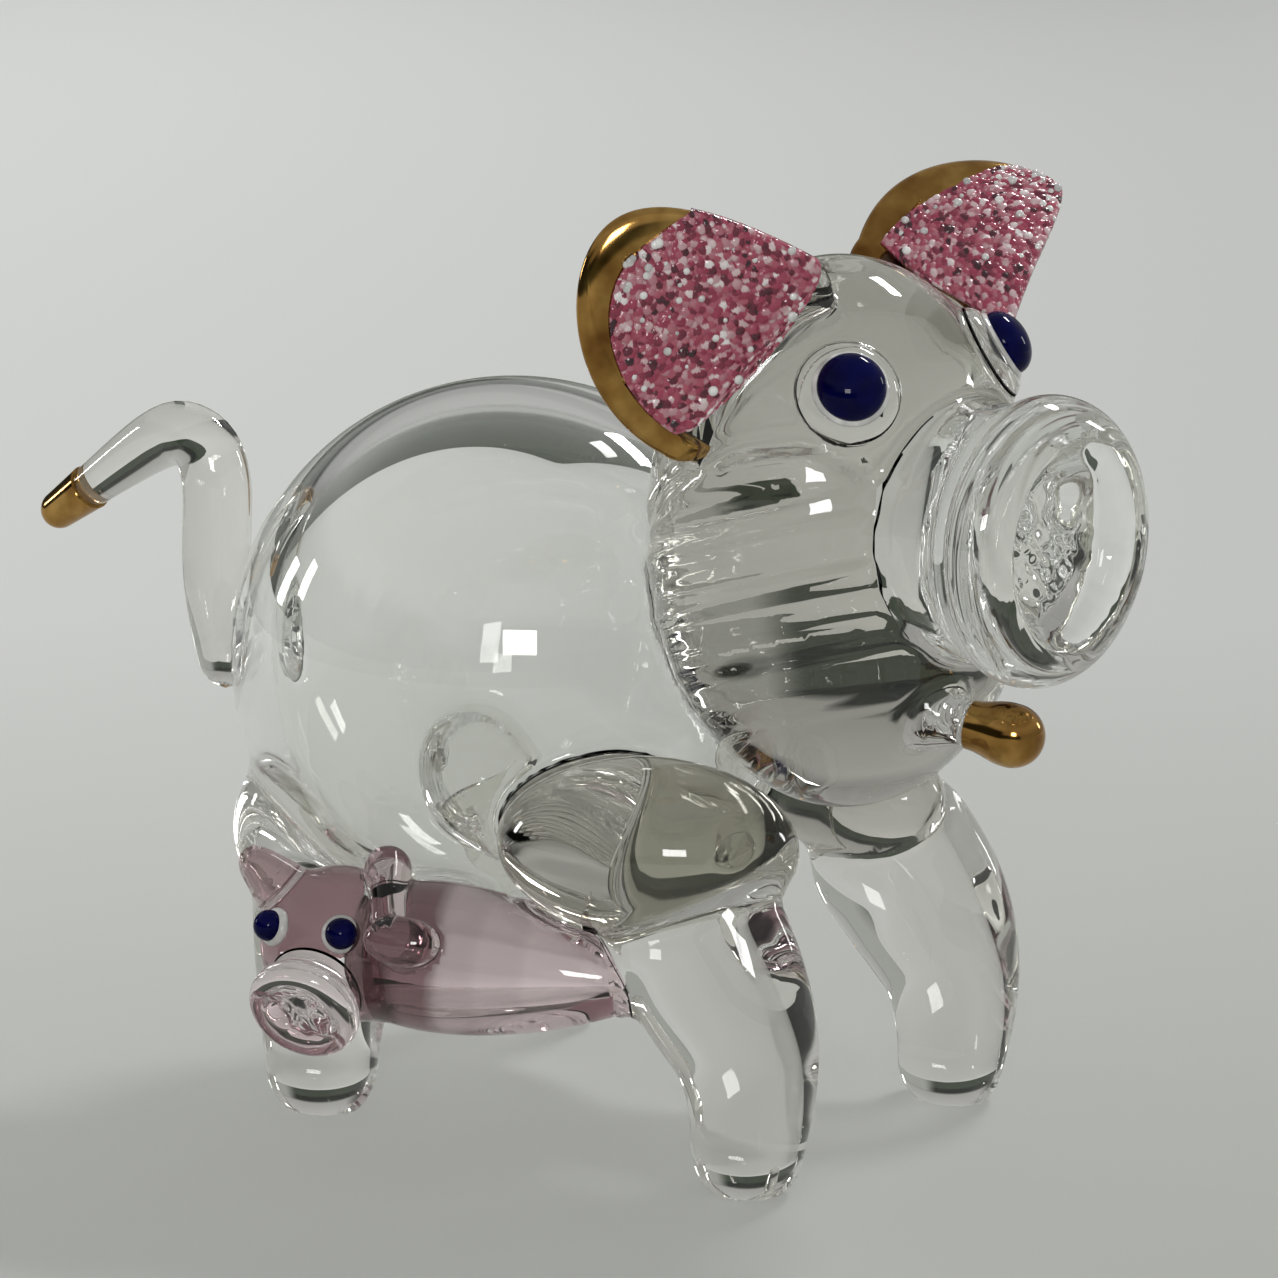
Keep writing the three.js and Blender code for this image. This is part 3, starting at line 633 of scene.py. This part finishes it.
white_glass = opaque("white_glass", (0.88, 0.87, 0.85), 0.12, 0.6)
cobalt_glass = opaque("cobalt_glass", (0.0016, 0.002, 0.058), 0.06, 0.12, 0.04)
for side, name in ((-1, "right"), (1, "left")):
    place, axes = seat(head_half, eye_turn, eye_lift, side)
    place, axes = head_middle + head_axes @ place, head_axes @ axes
    pad = lump(f"{name}_eye_ring", place, eye_pad_half, axes, 32, 64, solid_glass, "clear_glass", f"{name}_eye_pad")
    pad.melt(eye_fillet, head)
    opal = place + axes[:, 2] * eye_opal_rise + ball(24, 48) * eye_opal_half @ axes.T
    make(f"{name}_eye_opal", *closed(opal), white_glass, "white_glass")
    bead = place + axes[:, 2] * eye_bead_rise + ball(28, 48) * eye_bead_half @ axes.T
    make(f"{name}_eye_dot", *closed(bead), cobalt_glass, "cobalt_glass", f"{name}_eye_bead")


# Ears: thick cupped leaves of clear glass. Their backs and one edge are gilded, and coarse rose frit is fused to their
# fronts up to the other edge, with drops of melted frit on it that are painted pure white as glints.
ear_reach = 8.0
ear_root = 3.0
ear_thickness = 2.6
ear_cup = 1.2
ear_spot = np.array([-0.2, 6.2, 9.2])
ear_fillet = 1.0
gold_seat = 0.03
frit_seat = 0.01
frit_lift = 0.22
frit_steps = 190
grain_pitch = 0.24
grain_stand = 0.6
grain_table = 100
glint_count = 38


def leaf(ball_points, width, bow, upper, corner, grow):
    """Points of a unit ball stretched to a leaf: X to the tip, which a corner draws out on the lower side, or to the
    root, Y to the edges with the middle bowed and the upper edge nearer, and Z to the faces, cupped by the square
    of Y."""
    a, b, c = np.moveaxis(ball_points, -1, 0)
    ahead = np.maximum(a, 0)
    return np.stack([
        a * np.where(a > 0, ear_reach + grow, ear_root) + corner * ahead ** 4 * np.maximum(-b, 0),
        b * (width / 2 * np.where(b > 0, upper, 1) + grow) + 4 * bow * ahead * (1 - ahead),
        c * (ear_thickness / 2 + grow) + ear_cup * b * b,
    ], -1)


def leaf_field(root, axes, width, bow, upper, corner):
    """Distance from a leaf: its stretch undone, then as for an ellipsoid."""
    half = np.array([ear_reach, width / 2, ear_thickness / 2])

    def field(points):
        x, y, z = ((points - root) @ axes).T
        a = np.where(x > 0, x / ear_reach, x / ear_root)
        ahead = np.clip(a, 0, 1)
        b = (y - 4 * bow * ahead * (1 - ahead)) / half[1]
        b = np.where(b > 0, b / upper, b)
        a = a - corner / ear_reach * ahead ** 4 * np.maximum(-b, 0)
        local = np.stack([a, b, (z - ear_cup * b * b) / half[2]], -1)
        length = np.linalg.norm(local, axis=-1) + 1e-9
        return length * (length - 1) / (np.linalg.norm(local / half, axis=-1) + 1e-9)
    return field


def slab(top, bottom):
    """Points and faces between two like grids: the first faces out, the second in, and a wall runs round them."""
    rows, columns = top.shape[:2]
    here = np.arange(rows * columns).reshape(rows, columns)
    quads = np.stack([here[:-1, :-1], here[:-1, 1:], here[1:, 1:], here[1:, :-1]], -1).reshape(-1, 4)
    rim = np.concatenate([here[0, :-1], here[:-1, -1], here[-1, :0:-1], here[:0:-1, 0]])
    ahead = np.roll(rim, -1)
    below = rows * columns
    walls = np.stack([ahead, rim, rim + below, ahead + below], -1)
    faces = np.vstack([quads, quads[:, ::-1] + below, walls])
    points = np.vstack([top.reshape(-1, 3), bottom.reshape(-1, 3)])
    middle = (top - bottom)[rows // 2, columns // 2]
    across = np.cross(top[rows // 2, columns // 2 + 1] - top[rows // 2, columns // 2],
                      top[rows // 2 + 1, columns // 2] - top[rows // 2, columns // 2])
    return points, (faces if across @ middle > 0 else faces[:, ::-1]).tolist()


def frit(name):
    """Crushed rose glass: each grain has its own mark, from maroon through raspberry and rose to milky pink, and
    thin patches of it let the pale ground show."""
    made, wire = blank_material(name)
    grain = wire.mark("grain") + 0.55 * (wire.cloud(620.0, 2.0) - 0.5)
    colour = grain.ramp(
        (0.00, (0.040, 0.008, 0.016)), (0.16, (0.17, 0.018, 0.042)), (0.34, (0.38, 0.042, 0.095)),
        (0.52, (0.46, 0.105, 0.155)), (0.70, (0.56, 0.29, 0.33)), (0.86, (0.76, 0.57, 0.59)),
        (1.00, (0.93, 0.88, 0.88)),
    )
    wire.surface({
        "Base Color": colour, "Roughness": 0.25, "IOR": 1.5, "Coat Weight": 0.5, "Coat Roughness": 0.08,
    })
    return made


def right_frit_edges(a):
    """Lower and upper edge of the right ear's frit at a share of the length: an arc of an ellipse, and the leaf's
    own rim until the arc's tip turns in."""
    level = np.sqrt(np.clip(1 - a * a, 0, 1))
    lower = -0.79 * np.sqrt(np.clip(1 - (np.maximum(a, 0) / 0.82) ** 2, 0, 1))
    return lower, level * np.sqrt(np.clip((0.82 - a) / 0.09, 0, 1))


def left_frit_edges(a):
    """The same for the left ear, whose gold lies along the other edge and whose frit runs on to the tip."""
    level = np.sqrt(np.clip(1 - a * a, 0, 1))
    shut = np.sqrt(np.clip((0.965 - a) / 0.06, 0, 1))
    upper = 0.68 - 0.36 * np.clip(a / 0.6, 0, 1)
    return -level * shut, upper * np.sqrt(np.clip(1 - (np.maximum(a, 0) / 1.03) ** 2, 0, 1)) * shut


rose_frit = frit("rose_frit")
# Painted highlight: opaque white drops that stand for glints on the frit.
painted_glint = opaque("painted_glint", (1.0, 0.99, 0.98), 0.05, 1.0)
ear_shapes = {
    "right": dict(side=-1, width=10.4, raised=43.0, sweep=20.0, twist=-11.0, bow=-0.4, upper=0.92, corner=0.0,
                  tip=0.82, base=0.05, dip=0.27, bald=0.24, edges=right_frit_edges),
    "left": dict(side=1, width=8.8, raised=33.0, sweep=-8.0, twist=55.0, bow=0.8, upper=0.76, corner=2.4,
                 tip=0.965, base=0.03, dip=0.04, bald=-1.0, edges=left_frit_edges),
}
for number, (name, ear) in enumerate(ear_shapes.items()):
    chance = np.random.default_rng(40 + number)
    mirror = np.diag([1.0, ear["side"], 1.0])
    ear_axes = (head_axes @ mirror @ about(2, math.radians(90 + ear["sweep"]))
                @ about(1, math.radians(-ear["raised"])) @ about(0, math.radians(90 - ear["twist"])))
    root = head_middle + head_axes @ mirror @ ear_spot
    shape = [ear[key] for key in ("width", "bow", "upper", "corner")]

    def laid(unit, grow):
        """Points of the unit ball laid on this ear, grown by a thickness."""
        return root + leaf(unit, *shape, grow) @ ear_axes.T

    core = Gather(f"{name}_ear_leaf", laid(ball(64, 110)[..., [2, 0, 1]], 0.0),
                  leaf_field(root, ear_axes, *shape), solid_glass, "clear_glass", f"{name}_ear")
    core.melt(ear_fillet, head)

    # The gilding is a sock over the leaf: its mouth lies on the head, and under the frit on the front.
    mouth_steps, mouth_lift, mouth_gap, frit_overlap, sock_tip = 140, 0.2, 0.15, 0.18, 0.9997
    turn = np.linspace(0, 2 * math.pi, 120, endpoint=False)[None, :]

    def around(a):
        """Unit ball points at a share of the length, all round."""
        level = np.sqrt(np.clip(1 - a * a, 0, 1))
        return np.stack([a + 0 * turn, level * np.cos(turn), level * np.sin(turn)], -1)

    lengths = np.linspace(-0.98, 0.9, mouth_steps)[:, None]
    trial = laid(around(lengths), mouth_lift)
    buried = head.field(trial.reshape(-1, 3)).reshape(trial.shape[:2]) < mouth_gap
    mouth = lengths[np.where(buried, np.arange(mouth_steps)[:, None], 0).max(0), 0][None, :]
    hidden = np.full((1, 1), ear["base"] + frit_overlap)
    low, high = ear["edges"](hidden)
    across = np.cos(turn) * np.sqrt(1 - hidden * hidden)
    mouth = np.where((np.sin(turn) > 0) & (across > low) & (across < high), hidden, mouth)
    mouth = np.maximum(mouth, ear["bald"] - 1.6 * (1 - np.cos(turn)))
    a = mouth + (sock_tip - mouth) * np.sin(np.linspace(0, math.pi / 2, 80))[:, None]
    sock = np.concatenate([laid(around(a), gold_seat)[::-1], laid(around(a), gold_thickness)])
    make(f"{name}_ear_gilding", *closed(sock), gold_lustre, "gold_lustre", f"{name}_ear_gold")

    # The frit is a bed of grains: every point of a fine grid stands on the highest of the nine grains round it.
    over = np.linspace(-1, 1, frit_steps)[None, :]
    base = ear["base"] - ear["dip"] * (1 - over * over)
    bed_a = base + (ear["tip"] - base) * np.sin(np.linspace(0, math.pi / 2, frit_steps))[:, None]
    low, high = ear["edges"](bed_a)
    bed_b = low + (high - low) * (over + 1) / 2
    bed = np.stack([bed_a, bed_b, np.sqrt(np.clip(1 - bed_a ** 2 - bed_b ** 2, 0, 1))], -1)
    spot = np.stack([bed_a * ear_reach, bed_b * ear["width"] / 2], -1) / grain_pitch + grain_table / 2
    cell = np.floor(spot).astype(int)
    shake = chance.uniform(0, 1, (grain_table, grain_table, 2))
    girth = chance.uniform(0.45, 0.95, (grain_table, grain_table))
    shade = chance.beta(1.3, 1.5, (grain_table, grain_table))
    height, mark = np.zeros(bed_a.shape), np.full(bed_a.shape, 0.5)
    for i in (-1, 0, 1):
        for j in (-1, 0, 1):
            near = cell + [i, j]
            gap = ((spot - near - shake[near[..., 0], near[..., 1]]) ** 2).sum(-1)
            size = girth[near[..., 0], near[..., 1]]
            dome = np.sqrt(np.maximum(size * size - gap, 0)) * grain_pitch
            taller = dome > height
            height = np.where(taller, dome, height)
            mark = np.where(taller, shade[near[..., 0], near[..., 1]], mark)
    crust = laid(bed, frit_lift)
    crust += grain_stand * height[..., None] * ear_axes[:, 2]
    crust_piece = make(f"{name}_ear_crust", *slab(crust, laid(bed, frit_seat)), rose_frit, "rose_frit",
                       f"{name}_ear_frit")
    values = crust_piece.data.attributes.new("grain", "FLOAT", "POINT")
    values.data.foreach_set("value", np.tile(mark.ravel(), 2).astype(np.float32))

    # Some grains melted to round drops, painted pure white as glints.
    glint_spots = crust[3:-3, 3:-3].reshape(-1, 3)
    glint_spots = glint_spots[chance.choice(len(glint_spots), glint_count, replace=False)]
    glint_size = chance.uniform(0.08, 0.24, glint_count)[:, None, None, None]
    glint_beads = glint_spots[:, None, None] + glint_size * (ball(7, 10) * [1.0, 1.0, 0.6]) @ ear_axes.T
    shells = [closed(bead) for bead in glint_beads]
    shell_faces = [[corner + i * len(shells[0][0]) for corner in face]
                   for i, (_, faces) in enumerate(shells) for face in faces]
    make(f"{name}_ear_glints", np.vstack([points for points, _ in shells]), shell_faces, painted_glint, "rose_frit")


# Tail: a rod of clear glass melted to the rear of the bubble, bent over in the flame and drawn out to a thin end,
# which is gilded like the end of the jaw.
tail_stations = np.array([
    [-13.2, -4.0, 17.0, 3.2],
    [-14.4, -4.0, 22.0, 3.2],
    [-14.4, -4.0, 26.8, 3.2],
    [-15.0, -4.0, 28.16, 3.1],
    [-16.28, -4.0, 28.7, 3.0],
    [-17.55, -4.0, 28.43, 2.9],
    [-25.0, -4.0, 23.9, 1.5],
])
tail_gold_length = 3.2
tail_fillet = 1.2
tail_stations[:, :3] += sow_middle
tail = drawn("tail_rod", tail_stations, 110, 44, solid_glass, "clear_glass", "tail")
tail.melt(tail_fillet, bubble)
gild("tail_gilding", tail_stations, 44, tail_gold_length, "tail_gold_tip")


# Legs: one gather of clear glass each, laid along the side of the bubble as a haunch and drawn down to a small flat
# foot. The right haunches are plump and thick, and the left ones are pressed flatter. The stations are places,
# widths, and how much of the width is left sideways.
ham_flow = 0.8
ham_end = 0.97
leg_fillet = 0.9
chin_fillet = 0.7
ham_shade_blur = 1.2
hind_ham_shade = 0.15
# The legs' glass, whose deep olive colour is a painted shade for the hams.
leg_glass = glass("leg_glass", (0.92, 0.915, 0.885), (0.46, 0.44, 0.37))
front_ham_half = np.array([6.6, 4.5, 3.8])
front_ham_splay = math.radians(19.0)
hind_ham_half = np.array([4.5, 4.2, 4.5])


def leg(name, node, ham_half, ham_splay, ham_shade, stations):
    """A ham run together with the rod of the leg, on rings round a path from the ham's rear end to the foot: each
    point is where a ray from the path first leaves the glass. The ham's painted shade darkens the ham's colour towards
    olive, not the rod's."""
    longest_ray, ray_steps, halvings = 7.5, 40, 14
    ham = sow_middle + stations[0, :3]
    axes = about(2, ham_splay)
    limb = stations.copy()
    limb[:, :3] += sow_middle
    ham_distance = ball_field(ham, ham_half, axes)
    limb_distance = rod_field(limb)

    def field(points):
        return melted(ham_distance(points), limb_distance(points), ham_flow)

    rear = np.append(ham - axes[:, 0] * ham_half[0] * ham_end, [0.5, 1.0])
    spine = np.vstack([rear, limb])
    grid = rod(spine, 88, 72)
    middle = grid.mean(1, keepdims=True)
    ray = grid - middle
    ray /= np.maximum(np.linalg.norm(ray, axis=-1, keepdims=True), 1e-6)
    reach = np.linspace(0, longest_ray, ray_steps)
    trial = middle[:, :, None] + ray[:, :, None] * reach[:, None]
    outside = field(trial.reshape(-1, 3)).reshape(trial.shape[:3]) > 0
    outside[..., -1] = True
    low = reach[np.maximum(outside.argmax(-1) - 1, 0)]
    high = low + reach[1]
    for _ in range(halvings):
        half = (low + high) / 2
        out = field((middle + ray * half[..., None]).reshape(-1, 3)).reshape(half.shape) > 0
        low, high = np.where(out, low, half), np.where(out, half, high)
    made = Gather(name, middle + ray * low[..., None], field, leg_glass, "clear_glass", node, sole=True)
    in_ham = limb_distance(made.points) - ham_distance(made.points)
    # Painted shade darkens the ham towards olive; the rod of the leg keeps the clear colour.
    mark_painted_shade(made, ham_shade * np.clip(0.5 + in_ham / ham_shade_blur, 0, 1))
    made.melt(leg_fillet, bubble)
    return made


front_line, hind_line = 13.2, -13.2
legs = {}
for side, name, ham_spread, foot_spread, plump in ((-1, "right", 8.2, 8.3, 1.0), (1, "left", 6.6, 7.9, 0.68)):
    ham_half = front_ham_half * [1, plump, 0.5 + plump / 2]
    stations = np.array([
        [front_line + 0.1, side * ham_spread, 14.2, 8.5, 0.68],
        [front_line + 3.6, side * foot_spread, 9.3, 8.5, 0.64],
        [front_line + 5.3, side * foot_spread, 6.1, 6.6, 0.79],
        [front_line + 5.5, side * foot_spread, 2.8, 5.2, 0.88],
        [front_line + 4.9, side * foot_spread, -0.55, 4.5, 0.88],
    ])
    # The plumpness also sets how deep the ham's painted shade is.
    legs[f"{name}_front"] = leg(f"{name}_front_gather", f"{name}_front_leg", ham_half, -side * front_ham_splay,
                                plump, stations)
for side, name, knee_spread, foot_spread, plump in ((-1, "right", 7.6, 9.8, 1.0), (1, "left", 6.8, 7.2, 0.84)):
    ham_half = hind_ham_half * [1, plump, plump]
    stations = np.array([
        [hind_line + 7.6, side * 6.6, 9.2 + 2.7 * plump, 7.8, 0.8 * plump],
        [hind_line + 8.4, side * knee_spread, 9.6, 7.8, 0.76],
        [hind_line + 9.0, side * (knee_spread + foot_spread) / 2, 7.0, 7.0, 0.8],
        [hind_line + 9.6, side * foot_spread, 3.2, 5.6, 0.86],
        [hind_line + 9.6, side * foot_spread, -0.55, 4.8, 0.86],
    ])
    legs[f"{name}_hind"] = leg(f"{name}_hind_gather", f"{name}_hind_leg", ham_half, 0.0, hind_ham_shade, stations)
head.melt(chin_fillet, legs["right_front"], legs["left_front"])


# Piglet: rose glass, with its body melted to the sow's front leg and its head to the hind leg. Its face is turned
# out, with a pressed snout, white eye pads with dark blue beads, a pointed ear and a folded one.
# The piglet's deep colours are painted shade: its head is a much darker copy of the rose glass, and its body darkens
# towards the head.
rose_glass = glass("rose_glass", (0.93, 0.77, 0.81), (0.10, 0.042, 0.05))
# The ears are a darker copy of the rose glass: painted shade.
shaded_ear_rose_glass = glass("shaded_ear_rose_glass", (0.60, 0.44, 0.47))
shaded_rose_glass = glass("shaded_rose_glass", (0.17, 0.065, 0.08))
piglet_middle = sow_middle + [-0.33, -12.24, 8.6]
piglet_rump = sow_middle + [14.37, -8.96, 8.4]
piglet_half = np.array([3.4, 3.6, 3.5])
piglet_turn = math.radians(16.0 - 90.0)
piglet_bow = math.radians(25.0)
rump_fillet, cheek_fillet, muzzle_fillet, point_fillet, fold_fillet = 0.8, 0.7, 0.5, 0.6, 0.3
painted_shade_blur = 0.4
piglet_axes = about(2, piglet_turn) @ about(1, piglet_bow)
piglet_head = lump("piglet_head_gather", piglet_middle, piglet_half, piglet_axes, 48, 72,
                   shaded_rose_glass, "rose_glass", "piglet_head")
piglet_shares, piglet_widths = [0.0, 0.33, 0.67, 1.0], [5.4, 6.6, 5.2, 1.8]
piglet_stations = np.column_stack([
    piglet_middle + np.outer(piglet_shares, piglet_rump - piglet_middle), piglet_widths,
])
piglet_body = drawn("piglet_body_gather", piglet_stations, 72, 64, rose_glass, "rose_glass", "piglet_body")
# Painted shade on the body: darker within 5 mm of the head, and darkest at the neck.
from_head = piglet_head.field(piglet_body.points)
mark_painted_shade(piglet_body, sum(
    share * np.clip((reach - from_head) / painted_shade_blur, 0, 1) for share, reach in ((0.22, 5.0), (0.78, 1.8))
))
piglet_snout_middle = piglet_middle + piglet_axes @ [3.6, 0.0, 0.0]
piglet_disc = dict(width=5.0, thickness=1.5, rim=0.7, muzzle=4.0, root=1.7)
piglet_snout_grid = pressed_disc(dish=3.4, depth=0.4, **piglet_disc)
poke(piglet_snout_grid, piglet_disc["thickness"] / 2, spacing=1.7, rise=0.0, half=np.array([0.42, 0.55]), depth=0.35,
     crumple=0.05)
piglet_snout = Gather("piglet_snout_gather", piglet_snout_middle + piglet_snout_grid @ piglet_axes.T,
                      disc_field(piglet_snout_middle, piglet_axes, **piglet_disc),
                      rose_glass, "rose_glass", "piglet_snout")
piglet_body.melt(rump_fillet, piglet_head, legs["right_front"], bubble)
piglet_head.melt(cheek_fillet, legs["right_hind"], bubble)
piglet_snout.melt(muzzle_fillet, piglet_head)


def on_piglet(turn, lift, side, rise):
    """A place above the skin of the piglet's head."""
    place, axes = seat(piglet_half, math.radians(turn), math.radians(lift), side)
    return piglet_middle + piglet_axes @ (place + axes[:, 2] * rise)


piglet_pad_half = np.array([0.86, 0.86, 0.45])
piglet_dot_half = np.array([0.69, 0.69, 0.66])
piglet_dot_rise = 0.36
for side, name, turn, lift in ((-1, "right", 46.0, 40.0), (1, "left", 32.0, 44.0)):
    place, axes = seat(piglet_half, math.radians(turn), math.radians(lift), side)
    place, axes = piglet_middle + piglet_axes @ place, piglet_axes @ axes
    pad = place + ball(20, 36) * piglet_pad_half @ axes.T
    dot = place + axes[:, 2] * piglet_dot_rise + ball(20, 36) * piglet_dot_half @ axes.T
    make(f"piglet_{name}_eye_ring", *closed(pad), white_glass, "white_glass", f"piglet_{name}_eye_pad")
    make(f"piglet_{name}_eye_dot", *closed(dot), cobalt_glass, "cobalt_glass", f"piglet_{name}_eye_bead")

point_turn, point_lift = 98.0, 46.0
point_stations = np.array([
    [*on_piglet(point_turn, point_lift, -1, rise), width] for rise, width in ((-1.2, 2.6), (0.0, 2.6), (2.4, 1.2))
])
point_ear = drawn("piglet_right_ear_point", point_stations, 36, 36, shaded_ear_rose_glass, "rose_glass", "piglet_right_ear")
point_ear.melt(point_fillet, piglet_head)
knob_stations = np.array([
    [-2.77, 1.71, 2.80, 2.0], [-1.86, 2.09, 2.94, 2.1], [0.61, 3.1, 3.2, 1.4], [2.2, 3.7, 2.7, 1.6],
])
knob_stations[:, :3] = piglet_middle + knob_stations[:, :3] @ piglet_axes.T
knob_ear = drawn("piglet_left_ear_knob", knob_stations, 56, 40, shaded_ear_rose_glass, "rose_glass", "piglet_left_ear")
knob_ear.melt(fold_fillet, piglet_head, piglet_body)
lobe_half = np.array([1.1, 1.7, 0.95])
lobe_middle = piglet_middle + piglet_axes @ [2.63, 4.38, 2.78]
lobe_axes = piglet_axes @ about(1, math.radians(43.4))
lobe_ear = lump("piglet_left_ear_lobe", lobe_middle, lobe_half, lobe_axes, 40, 56, shaded_ear_rose_glass, "rose_glass")
lobe_ear.melt(fold_fillet, piglet_head, piglet_body, knob_ear)


# Fusing: the flame runs every seam together. Each gather's skin is moved onto the fillets that it shares with its
# neighbours, and marked where other glass covers it.
for gather in Gather.made:
    gather.settle()


# Studio: a pale matt table in a dim room with a bright ceiling, a dark doorway on the left and a pale wall on the
# right. A few windows and a lamp give the glass its highlights.
away_from_view = (-0.588, 0.809, 0.0)
left_of_view = (-0.809, -0.588, 0.0)
table_radius = 1.0
table_drop = 0.00003
table_near = 0.05
table_glow = 0.5
window_distance = 1.2
window_aim = Vector((0.0, 0.003, 0.02))
bounces = 64


def stage_disc(name, radius, height, columns):
    """A flat round sheet."""
    turn = np.linspace(0, 2 * math.pi, columns, endpoint=False)
    points = np.stack([radius * np.cos(turn), radius * np.sin(turn), height + 0 * turn], -1)
    mesh = bpy.data.meshes.new(name)
    mesh.from_pydata(points.tolist(), [], [list(range(columns))])
    made = bpy.data.objects.new(name, mesh)
    scene.collection.objects.link(made)
    return made


table = stage_disc("table", table_radius, -table_drop, 96)
table_paint, wire = blank_material("table_paint")
place = wire.node("ShaderNodeTexCoord", output="Object")
away = table_near + place.along(away_from_view)
# Painted light: the table's colour is darker near the figurine and lighter far off, and brighter towards the left.
depth = away.ramp(
    (0.02, (0.49, 0.50, 0.47)), (0.08, (0.56, 0.57, 0.545)), (0.16, (0.64, 0.65, 0.63)), (1.0, (0.66, 0.67, 0.65)),
)
painted_side_light = place.along(left_of_view).step(-0.14, 0.14, 0.82, 1.12)
painted_floor_light = wire.node("ShaderNodeVectorMath", {"operation": "SCALE"}, {0: depth, "Scale": painted_side_light})
paint = wire.node("ShaderNodeBsdfPrincipled", None, {
    "Base Color": painted_floor_light, "Roughness": 0.6, "Specular IOR Level": 0.08,
})
pale = wire.node("ShaderNodeEmission", None, {"Color": painted_floor_light, "Strength": 1.0})
rays = [wire.node("ShaderNodeLightPath", output=f"Is {kind} Ray") for kind in ("Camera", "Glossy", "Transmission")]
glow = wire.math("MINIMUM", rays[0] + rays[1] + rays[2], 1.0)
blend = wire.node("ShaderNodeMixShader", None, {"Fac": table_glow * glow, 1: paint, 2: pale})
wire.node("ShaderNodeOutputMaterial", None, {"Surface": blend})
table.data.materials.append(table_paint)

room = bpy.data.worlds.new("room")
scene.world = room
room.use_nodes = True
room.node_tree.nodes.clear()
wire = Wire(room.node_tree)
direction = wire.node("ShaderNodeTexCoord", output="Generated")
height = wire.node("ShaderNodeSeparateXYZ", None, {"Vector": direction}, output="Z")
round_about = height.ramp(
    (0.00, (0.052, 0.064, 0.048)), (0.09, (0.052, 0.064, 0.048)), (0.11, (0.020, 0.023, 0.020)),
    (0.18, (0.020, 0.023, 0.020)), (0.22, (0.36, 0.36, 0.35)), (0.55, (0.48, 0.48, 0.47)),
    (0.70, (0.36, 0.36, 0.355)), (1.0, (0.34, 0.34, 0.335)),
)
leftward = direction.along(left_of_view)
doorway = leftward.step(0.45, 0.75) * height.step(0.46, 0.34)
pale_wall = leftward.step(-0.22, -0.42) * height.step(0.22, 0.18)
walls = pale_wall.blend(round_about, (0.34, 0.35, 0.33))
walls = doorway.blend(walls, (0.03, 0.032, 0.03))
seen = wire.node("ShaderNodeLightPath", output="Is Camera Ray")
tint = seen.blend(walls, (0.57, 0.585, 0.565))
sky = wire.node("ShaderNodeBackground", None, {"Color": tint, "Strength": 1.0})
wire.node("ShaderNodeOutputWorld", None, {"Surface": sky})


def window(name, turn, rise, across, high, radiance):
    """A soft rectangle of light that faces the figurine from a direction: its sizes are angles in degrees."""
    turn, rise = math.radians(turn), math.radians(rise)
    out = Vector((math.sin(turn) * math.cos(rise), -math.cos(turn) * math.cos(rise), math.sin(rise)))
    light = bpy.data.lights.new(name, "AREA")
    light.shape = "RECTANGLE"
    light.size, light.size_y = (
        2 * window_distance * math.tan(math.radians(angle) / 2) for angle in (across, high)
    )
    light.energy = radiance * math.pi * light.size * light.size_y
    made = bpy.data.objects.new(name, light)
    made.location = window_aim + out * window_distance
    made.rotation_euler = out.to_track_quat("Z", "Y").to_euler()
    made.visible_camera = False
    scene.collection.objects.link(made)


window("front_window", 34.0, 17.0, 13.0, 10.0, 20.0)
window("ceiling_lamp", 178.0, 48.0, 14.0, 5.0, 70.0)
window("left_window", -78.0, 12.0, 5.0, 11.0, 16.0)
window("right_window", 150.0, 15.0, 5.0, 11.0, 14.0)

scene.cycles.use_denoising = True
for kind in ("max", "transmission", "glossy", "transparent_max"):
    setattr(scene.cycles, f"{kind}_bounces", bounces)
